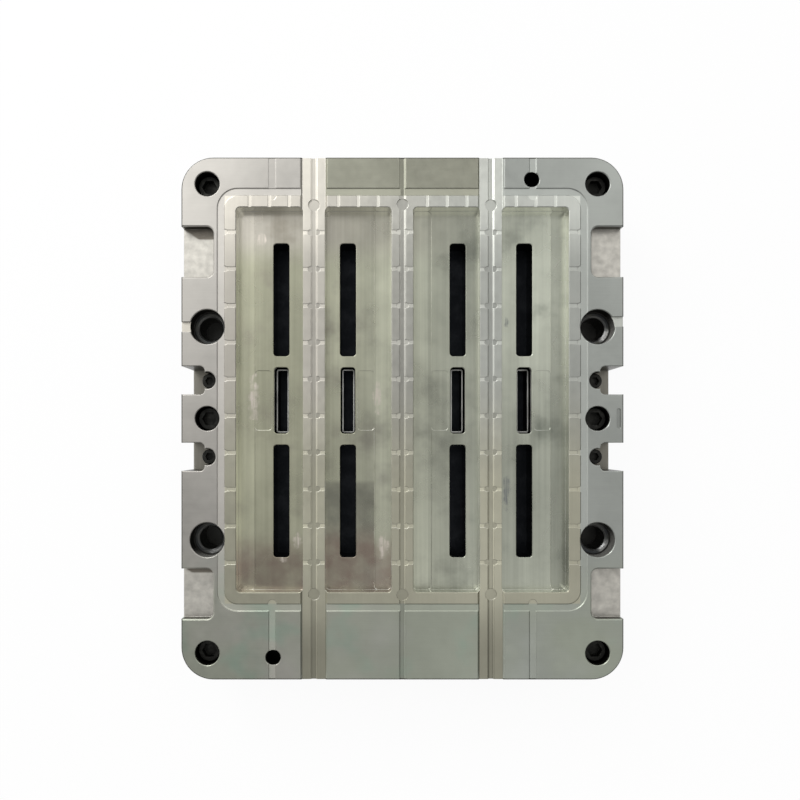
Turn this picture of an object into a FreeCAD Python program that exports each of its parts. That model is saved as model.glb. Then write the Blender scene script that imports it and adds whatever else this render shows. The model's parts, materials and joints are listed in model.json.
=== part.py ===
# Injection mould half: a cavity plate with four long pockets and twelve through slots,
# bolted and dowelled to a backing plate, with headed guide bushes and slot inserts
# held in the back of the cavity plate by the backing plate.
#
# It lies on its back with the parting face up. X runs across the pockets, Y along
# them and Z out of the parting face. The origin is the centre of the back face.
# All lengths are in millimetres.
import FreeCAD
import Part

import math
import os

# ---- Plates
PLATE_WIDTH = 470.0
PLATE_LENGTH = 555.0
PLATE_CORNER_R = 34.0
CAVITY_PLATE_T = 46.0
BACKING_PLATE_T = 36.0
PLATE_CHAMFER = 1.0

# ---- Four pockets, side by side, each for one raised block of the other mould half
POCKET_PITCH = 94.3
POCKET_WIDTH = 71.0
POCKET_LENGTH = 409.5
POCKET_DEPTH = 13.5
POCKET_CORNER_R = 4.5
POCKET_FIELD_Y = 20.0
SIDE_STRIP_DROP = 0.7

# ---- Three through slots in each pocket, measured from the channel beside the pocket
SLOT_WIDTH = 17.0
MIDDLE_SLOT_WIDTH = 15.5
SLOT_CORNER_R = 3.5
END_SLOT_LENGTH = 121.7
MIDDLE_SLOT_LENGTH = 71.4
END_SLOT_OFFSET_Y = 108.9
OUTER_SLOT_FROM_CHANNEL = 37.2
INNER_SLOT_FROM_CHANNEL = 34.9
SLOT_SHIFT_X = 0.8
RIM_CHAMFER = 0.6

# ---- Shallow label recess beside each middle slot
LABEL_WIDTH = 18.0
LABEL_LENGTH = 64.5
LABEL_DEPTH = 0.7
LABEL_FROM_SLOT = 19.4

# ---- Channels and grooves that let air and flash out between the pockets
CHANNEL_WIDTH = 28.8
CHANNEL_DEPTH = 2.2
CHANNEL_WALL_SPREAD = 1.0  # how far a wall runs out for each millimetre that it goes down
GROOVE_WIDTH = 7.4
GROOVE_DEPTH = 1.2
GROOVE_WALL_SPREAD = 1.7
JUNCTION_R = 6.2
JUNCTION_BEYOND_POCKET = 2.7
JUNCTION_EXTRA_DEPTH = 0.4

# ---- Ring groove round the pockets, and the runs from it to the plate's ends
RING_MARGIN = 20.3
RING_WIDTH = 8.4
RING_DEPTH = 0.9
RING_CORNER_R = 22.0
RUN_X = 138.5
RUN_WIDTH = 8.0
RUN_DEPTH = 0.9
RUN_WALL_SPREAD = 1.0
SHALLOW_RUN_DEPTH = 0.4
RUN_END_R = 4.6

# ---- Cross vents from each pocket to the groove or ring beside it
VENT_COUNT = 10
VENT_PITCH = 39.05
VENT_SHIFT_Y = 2.6
VENT_WIDTH = 4.0
VENT_DEPTH = 0.5
SCALLOP_R = 3.0
SCALLOP_DEPTH = 0.9
END_VENT_COUNT = 3
END_VENT_PITCH = 21.0
END_VENT_WIDTH = 3.2

# ---- Side column of holes, on a line this far in from the plate's side
COLUMN_FROM_SIDE = 27.5
CORNER_SCREW_FROM_END = 28.2
UPPER_BUSH_Y = 97.5
LOWER_BUSH_Y = -129.0
SIDE_SCREW_Y = 40.7

# ---- Plate screws, M16, and side screws, M10: socket head cap screws
PLATE_SCREW_R = 8.0
PLATE_HEAD_R = 12.0
PLATE_HEAD_H = 16.0
PLATE_SOCKET_AF = 14.0
PLATE_SCREW_SUNK = 10.0
PLATE_SCREW_BITE = 25.0
SIDE_SCREW_R = 5.0
SIDE_HEAD_R = 8.0
SIDE_HEAD_H = 10.0
SIDE_SOCKET_AF = 8.0
SIDE_SCREW_SUNK = 10.0
SIDE_SCREW_BITE = 18.0
COUNTERBORE_CLEARANCE = 1.0
SHANK_CLEARANCE = 0.75
THREAD_CLEARANCE = 0.05
TAP_RUNOUT = 4.0
SOCKET_DEPTH_SHARE = 0.5
SCREW_TIP_CHAMFER = 1.0
HEAD_CHAMFER = 0.8

# ---- Headed guide bushes for the other half's guide pins
BUSH_BORE_R = 12.5
BUSH_OUTER_R = 17.5
BUSH_SUNK = 15.0
BUSH_RECESS_R = 18.5
BUSH_COLLAR_R = 20.0
BUSH_COLLAR_H = 6.0
BUSH_LEAD_IN = 1.6
BUSH_CLEARANCE = 0.02
COLLAR_CLEARANCE = 0.5
AIR_GROOVE_WIDTH = 10.8
AIR_GROOVE_DEPTH = 2.6
RIGHT_AIR_GROOVE_SHIFT_Y = 5.6

# ---- Pry slots, open to the sides, for parting the two mould halves
PRY_REACH = 34.0
PRY_LENGTH = 53.5
PRY_DEPTH = 10.0
PRY_CORNER_R = 7.0
UPPER_PRY_Y = 177.3
LOWER_PRY_Y = -186.3
PRY_CHAMFER = 1.2

# ---- Clamp notches through the cavity plate's sides
NOTCH_REACH = 24.8
NOTCH_LENGTH = 30.0
NOTCH_CORNER_R = 5.0

# ---- Small features of the parting face
STOP_HOLE_X = 137.5
STOP_HOLE_FROM_END = 23.5
STOP_HOLE_R = 8.0
STOP_HOLE_DEPTH = 22.0
TALLY_SLOT_WIDTH = 4.2
TALLY_SLOT_LENGTH = 21.3
TALLY_SLOT_DEPTH = 1.5
TALLY_SLOT_R = 2.0
TALLY_SLOT_FROM_EDGE = 5.1
HOLE_CHAMFER = 0.7

# ---- Inserts that close the slots, in recesses in the back of the cavity plate
INSERT_FLANGE = 3.0
INSERT_T = 4.0
INSERT_CLEARANCE = 0.05
INSERT_CORNER_R = 5.0
SEAT_RIM_H = 18.0
SEAT_RIM_WALL = 2.3
SEAT_WELL_DEPTH = 20.0
SEAT_SLOT_CLEARANCE = 0.1
SEAT_RIM_CHAMFER = 1.1

# ---- Dowels between the plates, lifting holes in the ends, tapped holes in the back
DOWEL_X = 150.0
DOWEL_FROM_END = 39.5
DOWEL_R = 6.0
DOWEL_DEPTH = 18.0
DOWEL_CLEARANCE = 0.02
DOWEL_CHAMFER = 0.8
LIFT_HOLE_R = 7.0
LIFT_HOLE_DEPTH = 30.0
BACK_HOLE_X = 165.0
BACK_HOLE_Y = 150.0
BACK_HOLE_R = 7.0
BACK_HOLE_DEPTH = 25.0

# ---- Worked out from the sizes above
TOP = BACKING_PLATE_T + CAVITY_PLATE_T
HALF_WIDTH = PLATE_WIDTH / 2
HALF_LENGTH = PLATE_LENGTH / 2
COLUMN_X = HALF_WIDTH - COLUMN_FROM_SIDE
CORNER_SCREW_Y = HALF_LENGTH - CORNER_SCREW_FROM_END
STOP_HOLE_Y = HALF_LENGTH - STOP_HOLE_FROM_END
DOWEL_Y = HALF_LENGTH - DOWEL_FROM_END
POCKET_FLOOR = TOP - POCKET_DEPTH
INSERT_TOP = BACKING_PLATE_T + INSERT_T
FIELD_HALF_WIDTH = 1.5 * POCKET_PITCH + POCKET_WIDTH / 2
RING_HALF_WIDTH = FIELD_HALF_WIDTH + RING_MARGIN
RING_HALF_LENGTH = POCKET_LENGTH / 2 + RING_MARGIN
CHANNEL_XS = (-POCKET_PITCH, POCKET_PITCH)
GROOVE_XS = (-POCKET_PITCH, 0.0, POCKET_PITCH)
OVER = 1.0  # how far a cutter runs past the face that it opens
HAIR = 0.001  # keeps two faces of a cutter from meeting in a line
SAME_HEIGHT = 0.000001  # how close an edge's ends are to a height to lie at it
UPRIGHT = 0.9  # least Z share of an upright edge's direction

# Each pocket's letter, its centre, and the side that its label recess lies on.
POCKETS = (
    ("a", -1.5 * POCKET_PITCH, -1),
    ("b", -0.5 * POCKET_PITCH, 1),
    ("c", 0.5 * POCKET_PITCH, -1),
    ("d", 1.5 * POCKET_PITCH, 1),
)
# Each slot's name, its place along the pocket, its width and its length.
SLOTS = (
    ("upper", END_SLOT_OFFSET_Y, SLOT_WIDTH, END_SLOT_LENGTH),
    ("middle", 0.0, MIDDLE_SLOT_WIDTH, MIDDLE_SLOT_LENGTH),
    ("lower", -END_SLOT_OFFSET_Y, SLOT_WIDTH, END_SLOT_LENGTH),
)
PLATE_SCREW_PLACES = [(side * COLUMN_X, row * CORNER_SCREW_Y) for side in (-1, 1) for row in (-1, 0, 1)]
SIDE_SCREW_PLACES = [(side * COLUMN_X, row * SIDE_SCREW_Y) for side in (-1, 1) for row in (-1, 1)]
BUSH_PLACES = {
    "upper_left": (-COLUMN_X, UPPER_BUSH_Y),
    "upper_right": (COLUMN_X, UPPER_BUSH_Y),
    "lower_left": (-COLUMN_X, LOWER_BUSH_Y),
    "lower_right": (COLUMN_X, LOWER_BUSH_Y),
}
DOWEL_PLACES = [(-DOWEL_X, DOWEL_Y), (DOWEL_X, -DOWEL_Y)]


def slot_x(letter):
    """X of the slots in one pocket, measured from the nearer wide channel and shifted to the right."""
    offsets = {
        "a": -POCKET_PITCH - OUTER_SLOT_FROM_CHANNEL,
        "b": -POCKET_PITCH + INNER_SLOT_FROM_CHANNEL,
        "c": POCKET_PITCH - INNER_SLOT_FROM_CHANNEL,
        "d": POCKET_PITCH + OUTER_SLOT_FROM_CHANNEL,
    }
    return offsets[letter] + SLOT_SHIFT_X


# ---- Shapes that the pieces are made of
def box(x0, x1, y0, y1, z0, z1):
    return Part.makeBox(x1 - x0, y1 - y0, z1 - z0, FreeCAD.Vector(x0, y0, z0))


def cylinder(x, y, z0, z1, radius):
    return Part.makeCylinder(radius, z1 - z0, FreeCAD.Vector(x, y, z0))


def cone(x, y, z0, z1, r0, r1):
    return Part.makeCone(r0, r1, z1 - z0, FreeCAD.Vector(x, y, z0))


def rounded_block(x, y, width, length, radius, z0, z1):
    """A block with its four upright edges rounded."""
    block = box(x - width / 2, x + width / 2, y - length / 2, y + length / 2, z0, z1)
    upright = [e for e in block.Edges if abs(e.tangentAt(e.FirstParameter).z) > UPRIGHT]
    return block.makeFillet(radius, upright)


def edges_at(shape, z):
    return [
        e for e in shape.Edges
        if abs(e.BoundBox.ZMin - z) < SAME_HEIGHT and abs(e.BoundBox.ZMax - z) < SAME_HEIGHT
    ]


def flared_block(x, y, width, length, radius, z0, z1, flare):
    """A rounded block that narrows by flare, at 45 degrees, towards its bottom face."""
    block = rounded_block(x, y, width, length, radius, z0, z1)
    return block.makeChamfer(flare, edges_at(block, z0))


def pocket_cutter(x, y, width, length, radius, floor, mouth, chamfer):
    """A rounded pocket with a chamfered rim, open at the mouth."""
    body = rounded_block(x, y, width, length, radius, floor, mouth + OVER)
    rim_width = width + 2 * (chamfer + OVER)
    rim_length = length + 2 * (chamfer + OVER)
    rim_r = radius + chamfer + OVER
    rim = flared_block(x, y, rim_width, rim_length, rim_r, mouth - chamfer, mouth + OVER, chamfer + OVER - HAIR)
    return body.fuse(rim)


def trapezoid_y(x, y0, y1, width, depth, face, spread):
    """A groove cutter along Y with sloping walls, width wide where it meets the face."""
    half = width / 2
    points = [
        (x - half - OVER * spread, face + OVER),
        (x - half + depth * spread, face - depth),
        (x + half - depth * spread, face - depth),
        (x + half + OVER * spread, face + OVER),
    ]
    corners = [FreeCAD.Vector(px, y0, pz) for px, pz in points]
    section = Part.Face(Part.makePolygon(corners + corners[:1]))
    return section.extrude(FreeCAD.Vector(0, y1 - y0, 0))


def one_solid(shape, name):
    """The single solid that a cut has left, or a stop if it fell apart."""
    clean = shape.removeSplitter()
    if len(clean.Solids) != 1 or not clean.Solids[0].isValid():
        raise ValueError(f"{name} has {len(clean.Solids)} solids, or is not valid")
    return clean.Solids[0]


# ---- Screws, bushes and dowels
def screw_hole(x, y, sunk, head_r, head_h, screw_r, bite):
    """Counterbore and clearance hole in the cavity plate, and tapped hole in the backing plate."""
    seat = TOP - sunk - head_h
    wide_r = head_r + COUNTERBORE_CLEARANCE
    through = [
        cylinder(x, y, seat, TOP + OVER, wide_r),
        cone(x, y, TOP - HOLE_CHAMFER, TOP + OVER, wide_r, wide_r + HOLE_CHAMFER + OVER),
        cylinder(x, y, BACKING_PLATE_T - OVER, seat, screw_r + SHANK_CLEARANCE),
    ]
    tapped = cylinder(x, y, BACKING_PLATE_T - bite - TAP_RUNOUT, BACKING_PLATE_T + OVER, screw_r + THREAD_CLEARANCE)
    return through, tapped


def plate_screw_hole(x, y):
    return screw_hole(x, y, PLATE_SCREW_SUNK, PLATE_HEAD_R, PLATE_HEAD_H, PLATE_SCREW_R, PLATE_SCREW_BITE)


def side_screw_hole(x, y):
    return screw_hole(x, y, SIDE_SCREW_SUNK, SIDE_HEAD_R, SIDE_HEAD_H, SIDE_SCREW_R, SIDE_SCREW_BITE)


def cap_screw(x, y, sunk, screw_r, head_r, head_h, socket_af, bite):
    """A socket head cap screw: turned outline, then a hexagon socket cut into the head."""
    top = TOP - sunk
    seat = top - head_h
    tip = BACKING_PLATE_T - bite
    outline = [
        (0, tip),
        (screw_r - SCREW_TIP_CHAMFER, tip),
        (screw_r, tip + SCREW_TIP_CHAMFER),
        (screw_r, seat),
        (head_r, seat),
        (head_r, top - HEAD_CHAMFER),
        (head_r - HEAD_CHAMFER, top),
        (0, top),
    ]
    corners = [FreeCAD.Vector(r, 0, z) for r, z in outline]
    turned = Part.Face(Part.makePolygon(corners + corners[:1])).revolve(
        FreeCAD.Vector(0, 0, 0), FreeCAD.Vector(0, 0, 1), 360)
    corner_r = socket_af / math.sqrt(3)
    hexagon = [
        FreeCAD.Vector(corner_r * math.cos(k * math.pi / 3), corner_r * math.sin(k * math.pi / 3), 0)
        for k in range(6)
    ]
    depth = head_h * SOCKET_DEPTH_SHARE
    socket = Part.Face(Part.makePolygon(hexagon + hexagon[:1])).extrude(FreeCAD.Vector(0, 0, depth + OVER))
    socket.translate(FreeCAD.Vector(0, 0, top - depth))
    screw = turned.cut(socket)
    screw.translate(FreeCAD.Vector(x, y, 0))
    return screw.Solids[0]


def plate_screw(x, y):
    return cap_screw(x, y, PLATE_SCREW_SUNK, PLATE_SCREW_R, PLATE_HEAD_R, PLATE_HEAD_H, PLATE_SOCKET_AF,
                     PLATE_SCREW_BITE)


def side_screw(x, y):
    return cap_screw(x, y, SIDE_SCREW_SUNK, SIDE_SCREW_R, SIDE_HEAD_R, SIDE_HEAD_H, SIDE_SOCKET_AF,
                     SIDE_SCREW_BITE)


def bush_hole(x, y):
    """Recess, bore and collar seat in the cavity plate for one guide bush."""
    return [
        cylinder(x, y, TOP - BUSH_SUNK, TOP + OVER, BUSH_RECESS_R),
        cone(x, y, TOP - HOLE_CHAMFER, TOP + OVER, BUSH_RECESS_R, BUSH_RECESS_R + HOLE_CHAMFER + OVER),
        cylinder(x, y, BACKING_PLATE_T - OVER, TOP - BUSH_SUNK, BUSH_OUTER_R + BUSH_CLEARANCE),
        cylinder(x, y, BACKING_PLATE_T - OVER, BACKING_PLATE_T + BUSH_COLLAR_H, BUSH_COLLAR_R + COLLAR_CLEARANCE),
    ]


def guide_bush(x, y):
    """A headed bush, turned in one piece, with a rounded lead-in for the pin."""
    low = BACKING_PLATE_T
    high = TOP - BUSH_SUNK
    outline = [
        (BUSH_BORE_R, low),
        (BUSH_COLLAR_R, low),
        (BUSH_COLLAR_R, low + BUSH_COLLAR_H),
        (BUSH_OUTER_R, low + BUSH_COLLAR_H),
        (BUSH_OUTER_R, high),
        (BUSH_BORE_R + BUSH_LEAD_IN, high),
        (BUSH_BORE_R, high - BUSH_LEAD_IN),
    ]
    corners = [FreeCAD.Vector(r, 0, z) for r, z in outline]
    bush = Part.Face(Part.makePolygon(corners + corners[:1])).revolve(
        FreeCAD.Vector(0, 0, 0), FreeCAD.Vector(0, 0, 1), 360)
    bush.translate(FreeCAD.Vector(x, y, 0))
    return bush.Solids[0]


def dowel(x, y):
    pin = cylinder(x, y, BACKING_PLATE_T - DOWEL_DEPTH, BACKING_PLATE_T + DOWEL_DEPTH, DOWEL_R)
    return pin.makeChamfer(DOWEL_CHAMFER, [e for e in pin.Edges if e.isClosed()]).Solids[0]


# ---- The cavity plate's cuts, by kind
def insert_places():
    """Pocket letter, slot name, centre, slot width and slot length of each of the twelve inserts."""
    return [
        (letter, name, slot_x(letter), POCKET_FIELD_Y + offset, width, length)
        for letter, _, _ in POCKETS
        for name, offset, width, length in SLOTS
    ]


def insert_recess_cuts():
    """A recess in the back of the plate round each slot, for the insert that closes it."""
    return [
        rounded_block(x, y, width + 2 * INSERT_FLANGE, length + 2 * INSERT_FLANGE, INSERT_CORNER_R,
                      BACKING_PLATE_T - OVER, INSERT_TOP)
        for _, _, x, y, width, length in insert_places()
    ]


def pocket_cuts():
    """The pockets, their lower side strips, the slots and the label recesses."""
    cuts = []
    for letter, x, label_side in POCKETS:
        cuts.append(pocket_cutter(x, POCKET_FIELD_Y, POCKET_WIDTH, POCKET_LENGTH, POCKET_CORNER_R,
                                  POCKET_FLOOR, TOP, RIM_CHAMFER))
        slot = slot_x(letter)
        label = slot + label_side * LABEL_FROM_SLOT
        strip_in = label + label_side * LABEL_WIDTH / 2
        strip_out = x + label_side * POCKET_WIDTH / 2
        strip_x = (strip_in + strip_out) / 2
        cuts.append(rounded_block(strip_x, POCKET_FIELD_Y, abs(strip_out - strip_in), POCKET_LENGTH,
                                  POCKET_CORNER_R, POCKET_FLOOR - SIDE_STRIP_DROP, POCKET_FLOOR + OVER))
        cuts.append(rounded_block(label, POCKET_FIELD_Y, LABEL_WIDTH, LABEL_LENGTH, SLOT_CORNER_R,
                                  POCKET_FLOOR - LABEL_DEPTH, POCKET_FLOOR + OVER))
        for _, offset, width, length in SLOTS:
            cuts.append(pocket_cutter(slot, POCKET_FIELD_Y + offset, width, length, SLOT_CORNER_R,
                                      BACKING_PLATE_T - OVER, POCKET_FLOOR, RIM_CHAMFER))
    return cuts


def channel_cuts():
    """The wide channels and the grooves along the middle of each land, with their round pads."""
    low = -HALF_LENGTH - OVER
    high = HALF_LENGTH + OVER
    cuts = [
        trapezoid_y(x, low, high, CHANNEL_WIDTH, CHANNEL_DEPTH, TOP, CHANNEL_WALL_SPREAD)
        for x in CHANNEL_XS
    ]
    for x in GROOVE_XS:
        face = TOP - CHANNEL_DEPTH if x in CHANNEL_XS else TOP
        cuts.append(trapezoid_y(x, low, high, GROOVE_WIDTH, GROOVE_DEPTH, face, GROOVE_WALL_SPREAD))
        for end in (-1, 1):
            pad_y = POCKET_FIELD_Y + end * (POCKET_LENGTH / 2 + JUNCTION_BEYOND_POCKET)
            floor = face - GROOVE_DEPTH - JUNCTION_EXTRA_DEPTH
            cuts.append(cylinder(x, pad_y, floor, TOP + OVER, JUNCTION_R))
    return cuts


def ring_cut():
    """The ring groove: a flared block less the island that it runs round."""
    floor = TOP - RING_DEPTH
    width = 2 * RING_HALF_WIDTH
    length = 2 * RING_HALF_LENGTH
    outer = flared_block(0, POCKET_FIELD_Y, width, length, RING_CORNER_R, floor, TOP + OVER, RING_DEPTH)
    grow = 2 * (RING_DEPTH - RING_WIDTH)
    island_r = RING_CORNER_R - RING_WIDTH + RING_DEPTH
    island = rounded_block(0, POCKET_FIELD_Y, width + grow, length + grow, island_r, floor - OVER, TOP + OVER)
    island = island.makeChamfer(RING_DEPTH + OVER, edges_at(island, TOP + OVER))
    return outer.cut(island)


def run_cuts():
    """The runs from the ring to the plate's ends, each with a round end inside the ring."""
    cuts = []
    for side in (-1, 1):
        for end in (-1, 1):
            depth = SHALLOW_RUN_DEPTH if (side, end) == (-1, 1) else RUN_DEPTH
            inner = POCKET_FIELD_Y + end * (RING_HALF_LENGTH - RING_WIDTH)
            outer = end * (HALF_LENGTH + OVER)
            y0, y1 = sorted((inner, outer))
            cuts.append(trapezoid_y(side * RUN_X, y0, y1, RUN_WIDTH, depth, TOP, RUN_WALL_SPREAD))
            cuts.append(cylinder(side * RUN_X, inner, TOP - depth, TOP + OVER, RUN_END_R))
    return cuts


def vent_ys():
    first = POCKET_FIELD_Y + VENT_SHIFT_Y - (VENT_COUNT - 1) * VENT_PITCH / 2
    return [first + k * VENT_PITCH for k in range(VENT_COUNT)]


def vent_cuts():
    """Shallow bars across the lands, and a round scallop where each meets a groove."""
    cuts = []
    ring_in = RING_HALF_WIDTH - RING_WIDTH
    land = POCKET_PITCH - POCKET_WIDTH
    for y in vent_ys():
        y0 = y - VENT_WIDTH / 2
        y1 = y + VENT_WIDTH / 2
        for side in (-1, 1):
            edge = side * ring_in
            x0, x1 = sorted((edge, side * FIELD_HALF_WIDTH))
            cuts.append(box(x0 - OVER, x1 + OVER, y0, y1, TOP - VENT_DEPTH, TOP + OVER))
            cuts.append(cylinder(edge, y, TOP - SCALLOP_DEPTH, TOP + OVER, SCALLOP_R))
        for x in GROOVE_XS:
            face = TOP - CHANNEL_DEPTH if x in CHANNEL_XS else TOP
            cuts.append(box(x - land / 2 - OVER, x + land / 2 + OVER, y0, y1, face - VENT_DEPTH, TOP + OVER))
            for side in (-1, 1):
                edge = x + side * GROOVE_WIDTH / 2
                cuts.append(cylinder(edge, y, face - SCALLOP_DEPTH, face + OVER, SCALLOP_R))
    return cuts


def end_vent_cuts():
    """Short vents from the upper end of each pocket to the ring."""
    cuts = []
    y0 = POCKET_FIELD_Y + POCKET_LENGTH / 2 - OVER
    y1 = POCKET_FIELD_Y + RING_HALF_LENGTH - RING_WIDTH + OVER
    for _, x, _ in POCKETS:
        for k in range(END_VENT_COUNT):
            vent_x = x + (k - (END_VENT_COUNT - 1) / 2) * END_VENT_PITCH
            cuts.append(box(vent_x - END_VENT_WIDTH / 2, vent_x + END_VENT_WIDTH / 2, y0, y1,
                            TOP - VENT_DEPTH, TOP + OVER))
    return cuts


def side_cuts():
    """Pry slots, clamp notches, bush air grooves and the tally slot, all at the plate's sides."""
    cuts = []
    for side in (-1, 1):
        for y in (UPPER_PRY_Y, LOWER_PRY_Y):
            reach = 2 * PRY_REACH
            cuts.append(pocket_cutter(side * HALF_WIDTH, y, reach, PRY_LENGTH, PRY_CORNER_R, TOP - PRY_DEPTH, TOP,
                                      PRY_CHAMFER))
        for row in (-1, 1):
            cuts.append(pocket_cutter(side * HALF_WIDTH, row * SIDE_SCREW_Y, 2 * NOTCH_REACH, NOTCH_LENGTH,
                                      NOTCH_CORNER_R, BACKING_PLATE_T - OVER, TOP, HOLE_CHAMFER))
        shift = RIGHT_AIR_GROOVE_SHIFT_Y if side > 0 else 0.0
        y = UPPER_BUSH_Y + shift
        x0, x1 = sorted((side * COLUMN_X, side * (HALF_WIDTH + OVER)))
        cuts.append(box(x0, x1, y - AIR_GROOVE_WIDTH / 2, y + AIR_GROOVE_WIDTH / 2, TOP - AIR_GROOVE_DEPTH,
                        TOP + OVER))
    tally_x = HALF_WIDTH - TALLY_SLOT_FROM_EDGE
    cuts.append(rounded_block(tally_x, 0, TALLY_SLOT_WIDTH, TALLY_SLOT_LENGTH, TALLY_SLOT_R,
                              TOP - TALLY_SLOT_DEPTH, TOP + OVER))
    return cuts


def hole_cuts():
    """Every drilled and bored hole of the cavity plate."""
    cuts = []
    for x, y in PLATE_SCREW_PLACES:
        cuts += plate_screw_hole(x, y)[0]
    for x, y in SIDE_SCREW_PLACES:
        cuts += side_screw_hole(x, y)[0]
    for x, y in BUSH_PLACES.values():
        cuts += bush_hole(x, y)
    for x, y in DOWEL_PLACES:
        cuts.append(dowel_hole(x, y))
    for sign in (-1, 1):
        x = sign * STOP_HOLE_X
        y = sign * STOP_HOLE_Y
        cuts.append(cylinder(x, y, TOP - STOP_HOLE_DEPTH, TOP + OVER, STOP_HOLE_R))
        cuts.append(cone(x, y, TOP - HOLE_CHAMFER, TOP + OVER, STOP_HOLE_R, STOP_HOLE_R + HOLE_CHAMFER + OVER))
    return cuts


def dowel_hole(x, y):
    reach = DOWEL_DEPTH + 2 * DOWEL_CLEARANCE
    return cylinder(x, y, BACKING_PLATE_T - reach, BACKING_PLATE_T + reach, DOWEL_R + DOWEL_CLEARANCE)


# ---- The pieces
def blank(z0, z1):
    """A plate blank with rounded corners and chamfered top and bottom edges."""
    plate = rounded_block(0, 0, PLATE_WIDTH, PLATE_LENGTH, PLATE_CORNER_R, z0, z1)
    return plate.makeChamfer(PLATE_CHAMFER, edges_at(plate, z0) + edges_at(plate, z1))


def cavity_plate():
    plate = blank(BACKING_PLATE_T, TOP)
    groups = (
        pocket_cuts(),
        insert_recess_cuts(),
        channel_cuts(),
        [ring_cut()],
        run_cuts(),
        vent_cuts(),
        end_vent_cuts(),
        side_cuts(),
        hole_cuts(),
    )
    for cuts in groups:
        plate = plate.cut(cuts)
    return one_solid(plate, "cavity_plate")


def backing_plate():
    holes = [plate_screw_hole(x, y)[1] for x, y in PLATE_SCREW_PLACES]
    holes += [side_screw_hole(x, y)[1] for x, y in SIDE_SCREW_PLACES]
    holes += [dowel_hole(x, y) for x, y in DOWEL_PLACES]
    holes += [
        cylinder(side * BACK_HOLE_X, end * BACK_HOLE_Y, -OVER, BACK_HOLE_DEPTH, BACK_HOLE_R)
        for side in (-1, 1)
        for end in (-1, 1)
    ]
    for sign in (-1, 1):
        end = FreeCAD.Vector(0, sign * (HALF_LENGTH + OVER), BACKING_PLATE_T / 2)
        holes.append(Part.makeCylinder(LIFT_HOLE_R, LIFT_HOLE_DEPTH + OVER, end, FreeCAD.Vector(0, -sign, 0)))
    return one_solid(blank(0, BACKING_PLATE_T).cut(holes), "backing_plate")


def insert_base(x, y, width, length):
    """The flat base that all inserts have, a little smaller than its recess."""
    beyond = 2 * (INSERT_FLANGE - INSERT_CLEARANCE)
    return rounded_block(x, y, width + beyond, length + beyond, INSERT_CORNER_R - INSERT_CLEARANCE,
                         BACKING_PLATE_T, INSERT_TOP)


def core_seat(x, y, width, length):
    """The insert under a middle slot: a rim stands up into the slot round a deep well."""
    rim_top = INSERT_TOP + SEAT_RIM_H
    rim_width = width - 2 * SEAT_SLOT_CLEARANCE
    rim_length = length - 2 * SEAT_SLOT_CLEARANCE
    rim_r = SLOT_CORNER_R - SEAT_SLOT_CLEARANCE
    rim = rounded_block(x, y, rim_width, rim_length, rim_r, INSERT_TOP - OVER, rim_top)
    rim = rim.makeChamfer(SEAT_RIM_CHAMFER, edges_at(rim, rim_top))
    well = rounded_block(x, y, rim_width - 2 * SEAT_RIM_WALL, rim_length - 2 * SEAT_RIM_WALL,
                         rim_r - SEAT_RIM_WALL, rim_top - SEAT_WELL_DEPTH, rim_top + OVER)
    return one_solid(insert_base(x, y, width, length).fuse(rim).cut(well), "core_seat")


def inserts():
    pieces = {}
    for letter, name, x, y, width, length in insert_places():
        if name == "middle":
            pieces[f"core_seat_{letter}"] = core_seat(x, y, width, length)
        else:
            pieces[f"floor_insert_{letter}_{name}"] = insert_base(x, y, width, length).Solids[0]
    return pieces


def main():
    os.makedirs("parts", exist_ok=True)
    nodes = {"cavity_plate": cavity_plate(), "backing_plate": backing_plate()}
    nodes.update({f"guide_bush_{name}": guide_bush(x, y) for name, (x, y) in BUSH_PLACES.items()})
    nodes.update(inserts())
    nodes["plate_screws"] = Part.makeCompound([plate_screw(x, y) for x, y in PLATE_SCREW_PLACES])
    nodes["side_screws"] = Part.makeCompound([side_screw(x, y) for x, y in SIDE_SCREW_PLACES])
    nodes["dowel_pins"] = Part.makeCompound([dowel(x, y) for x, y in DOWEL_PLACES])
    for name, shape in nodes.items():
        shape.exportStep(f"parts/{name}.step")
        print(f"{name}: {len(shape.Solids)} solid(s), {shape.Volume / 1000:.1f} cm3")


main()
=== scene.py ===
# %% [markdown]
# # An injection mould half, dressed for the camera
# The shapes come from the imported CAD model, which is loaded here as a fixed frame.
# Blender adds what CAD can't say: how each steel was cut, ground, honed or blackened,
# and how light falls on it. Nothing is moved and no mesh is changed.

import json
import math

import bpy
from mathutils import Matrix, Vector


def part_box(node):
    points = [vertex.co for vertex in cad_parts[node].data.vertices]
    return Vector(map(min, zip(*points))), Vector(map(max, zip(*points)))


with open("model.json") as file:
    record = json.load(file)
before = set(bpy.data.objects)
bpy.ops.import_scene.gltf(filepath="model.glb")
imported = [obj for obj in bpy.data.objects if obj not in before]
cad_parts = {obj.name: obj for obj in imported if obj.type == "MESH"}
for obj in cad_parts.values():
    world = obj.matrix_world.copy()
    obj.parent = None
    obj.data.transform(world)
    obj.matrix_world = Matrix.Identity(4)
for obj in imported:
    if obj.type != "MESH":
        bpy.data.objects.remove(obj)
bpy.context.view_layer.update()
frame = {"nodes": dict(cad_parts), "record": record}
print("CAD nodes:", len(frame["nodes"]))

# %% [markdown]
# ## Sizes that the materials need
# Each region of the plate is cut in its own way, so the materials must know where the
# regions are. The frame gives most of them: screws and bushes by their boxes, pockets
# and holes by the openings in the record. Only a few cutter sizes are written here.
# Everything is in millimetres, the unit of the workshop.

# %% Measure the plate in millimetres
MM = 1000.0
RING_MARGIN = 20.3
RING_WIDTH = 8.4
PLATE_CORNER_R = 34.0
POCKET_BOX_MARGIN = 1.0
POCKET_BOX_LIFT = 0.3
PRY_BOX_LIFT = 0.5

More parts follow.
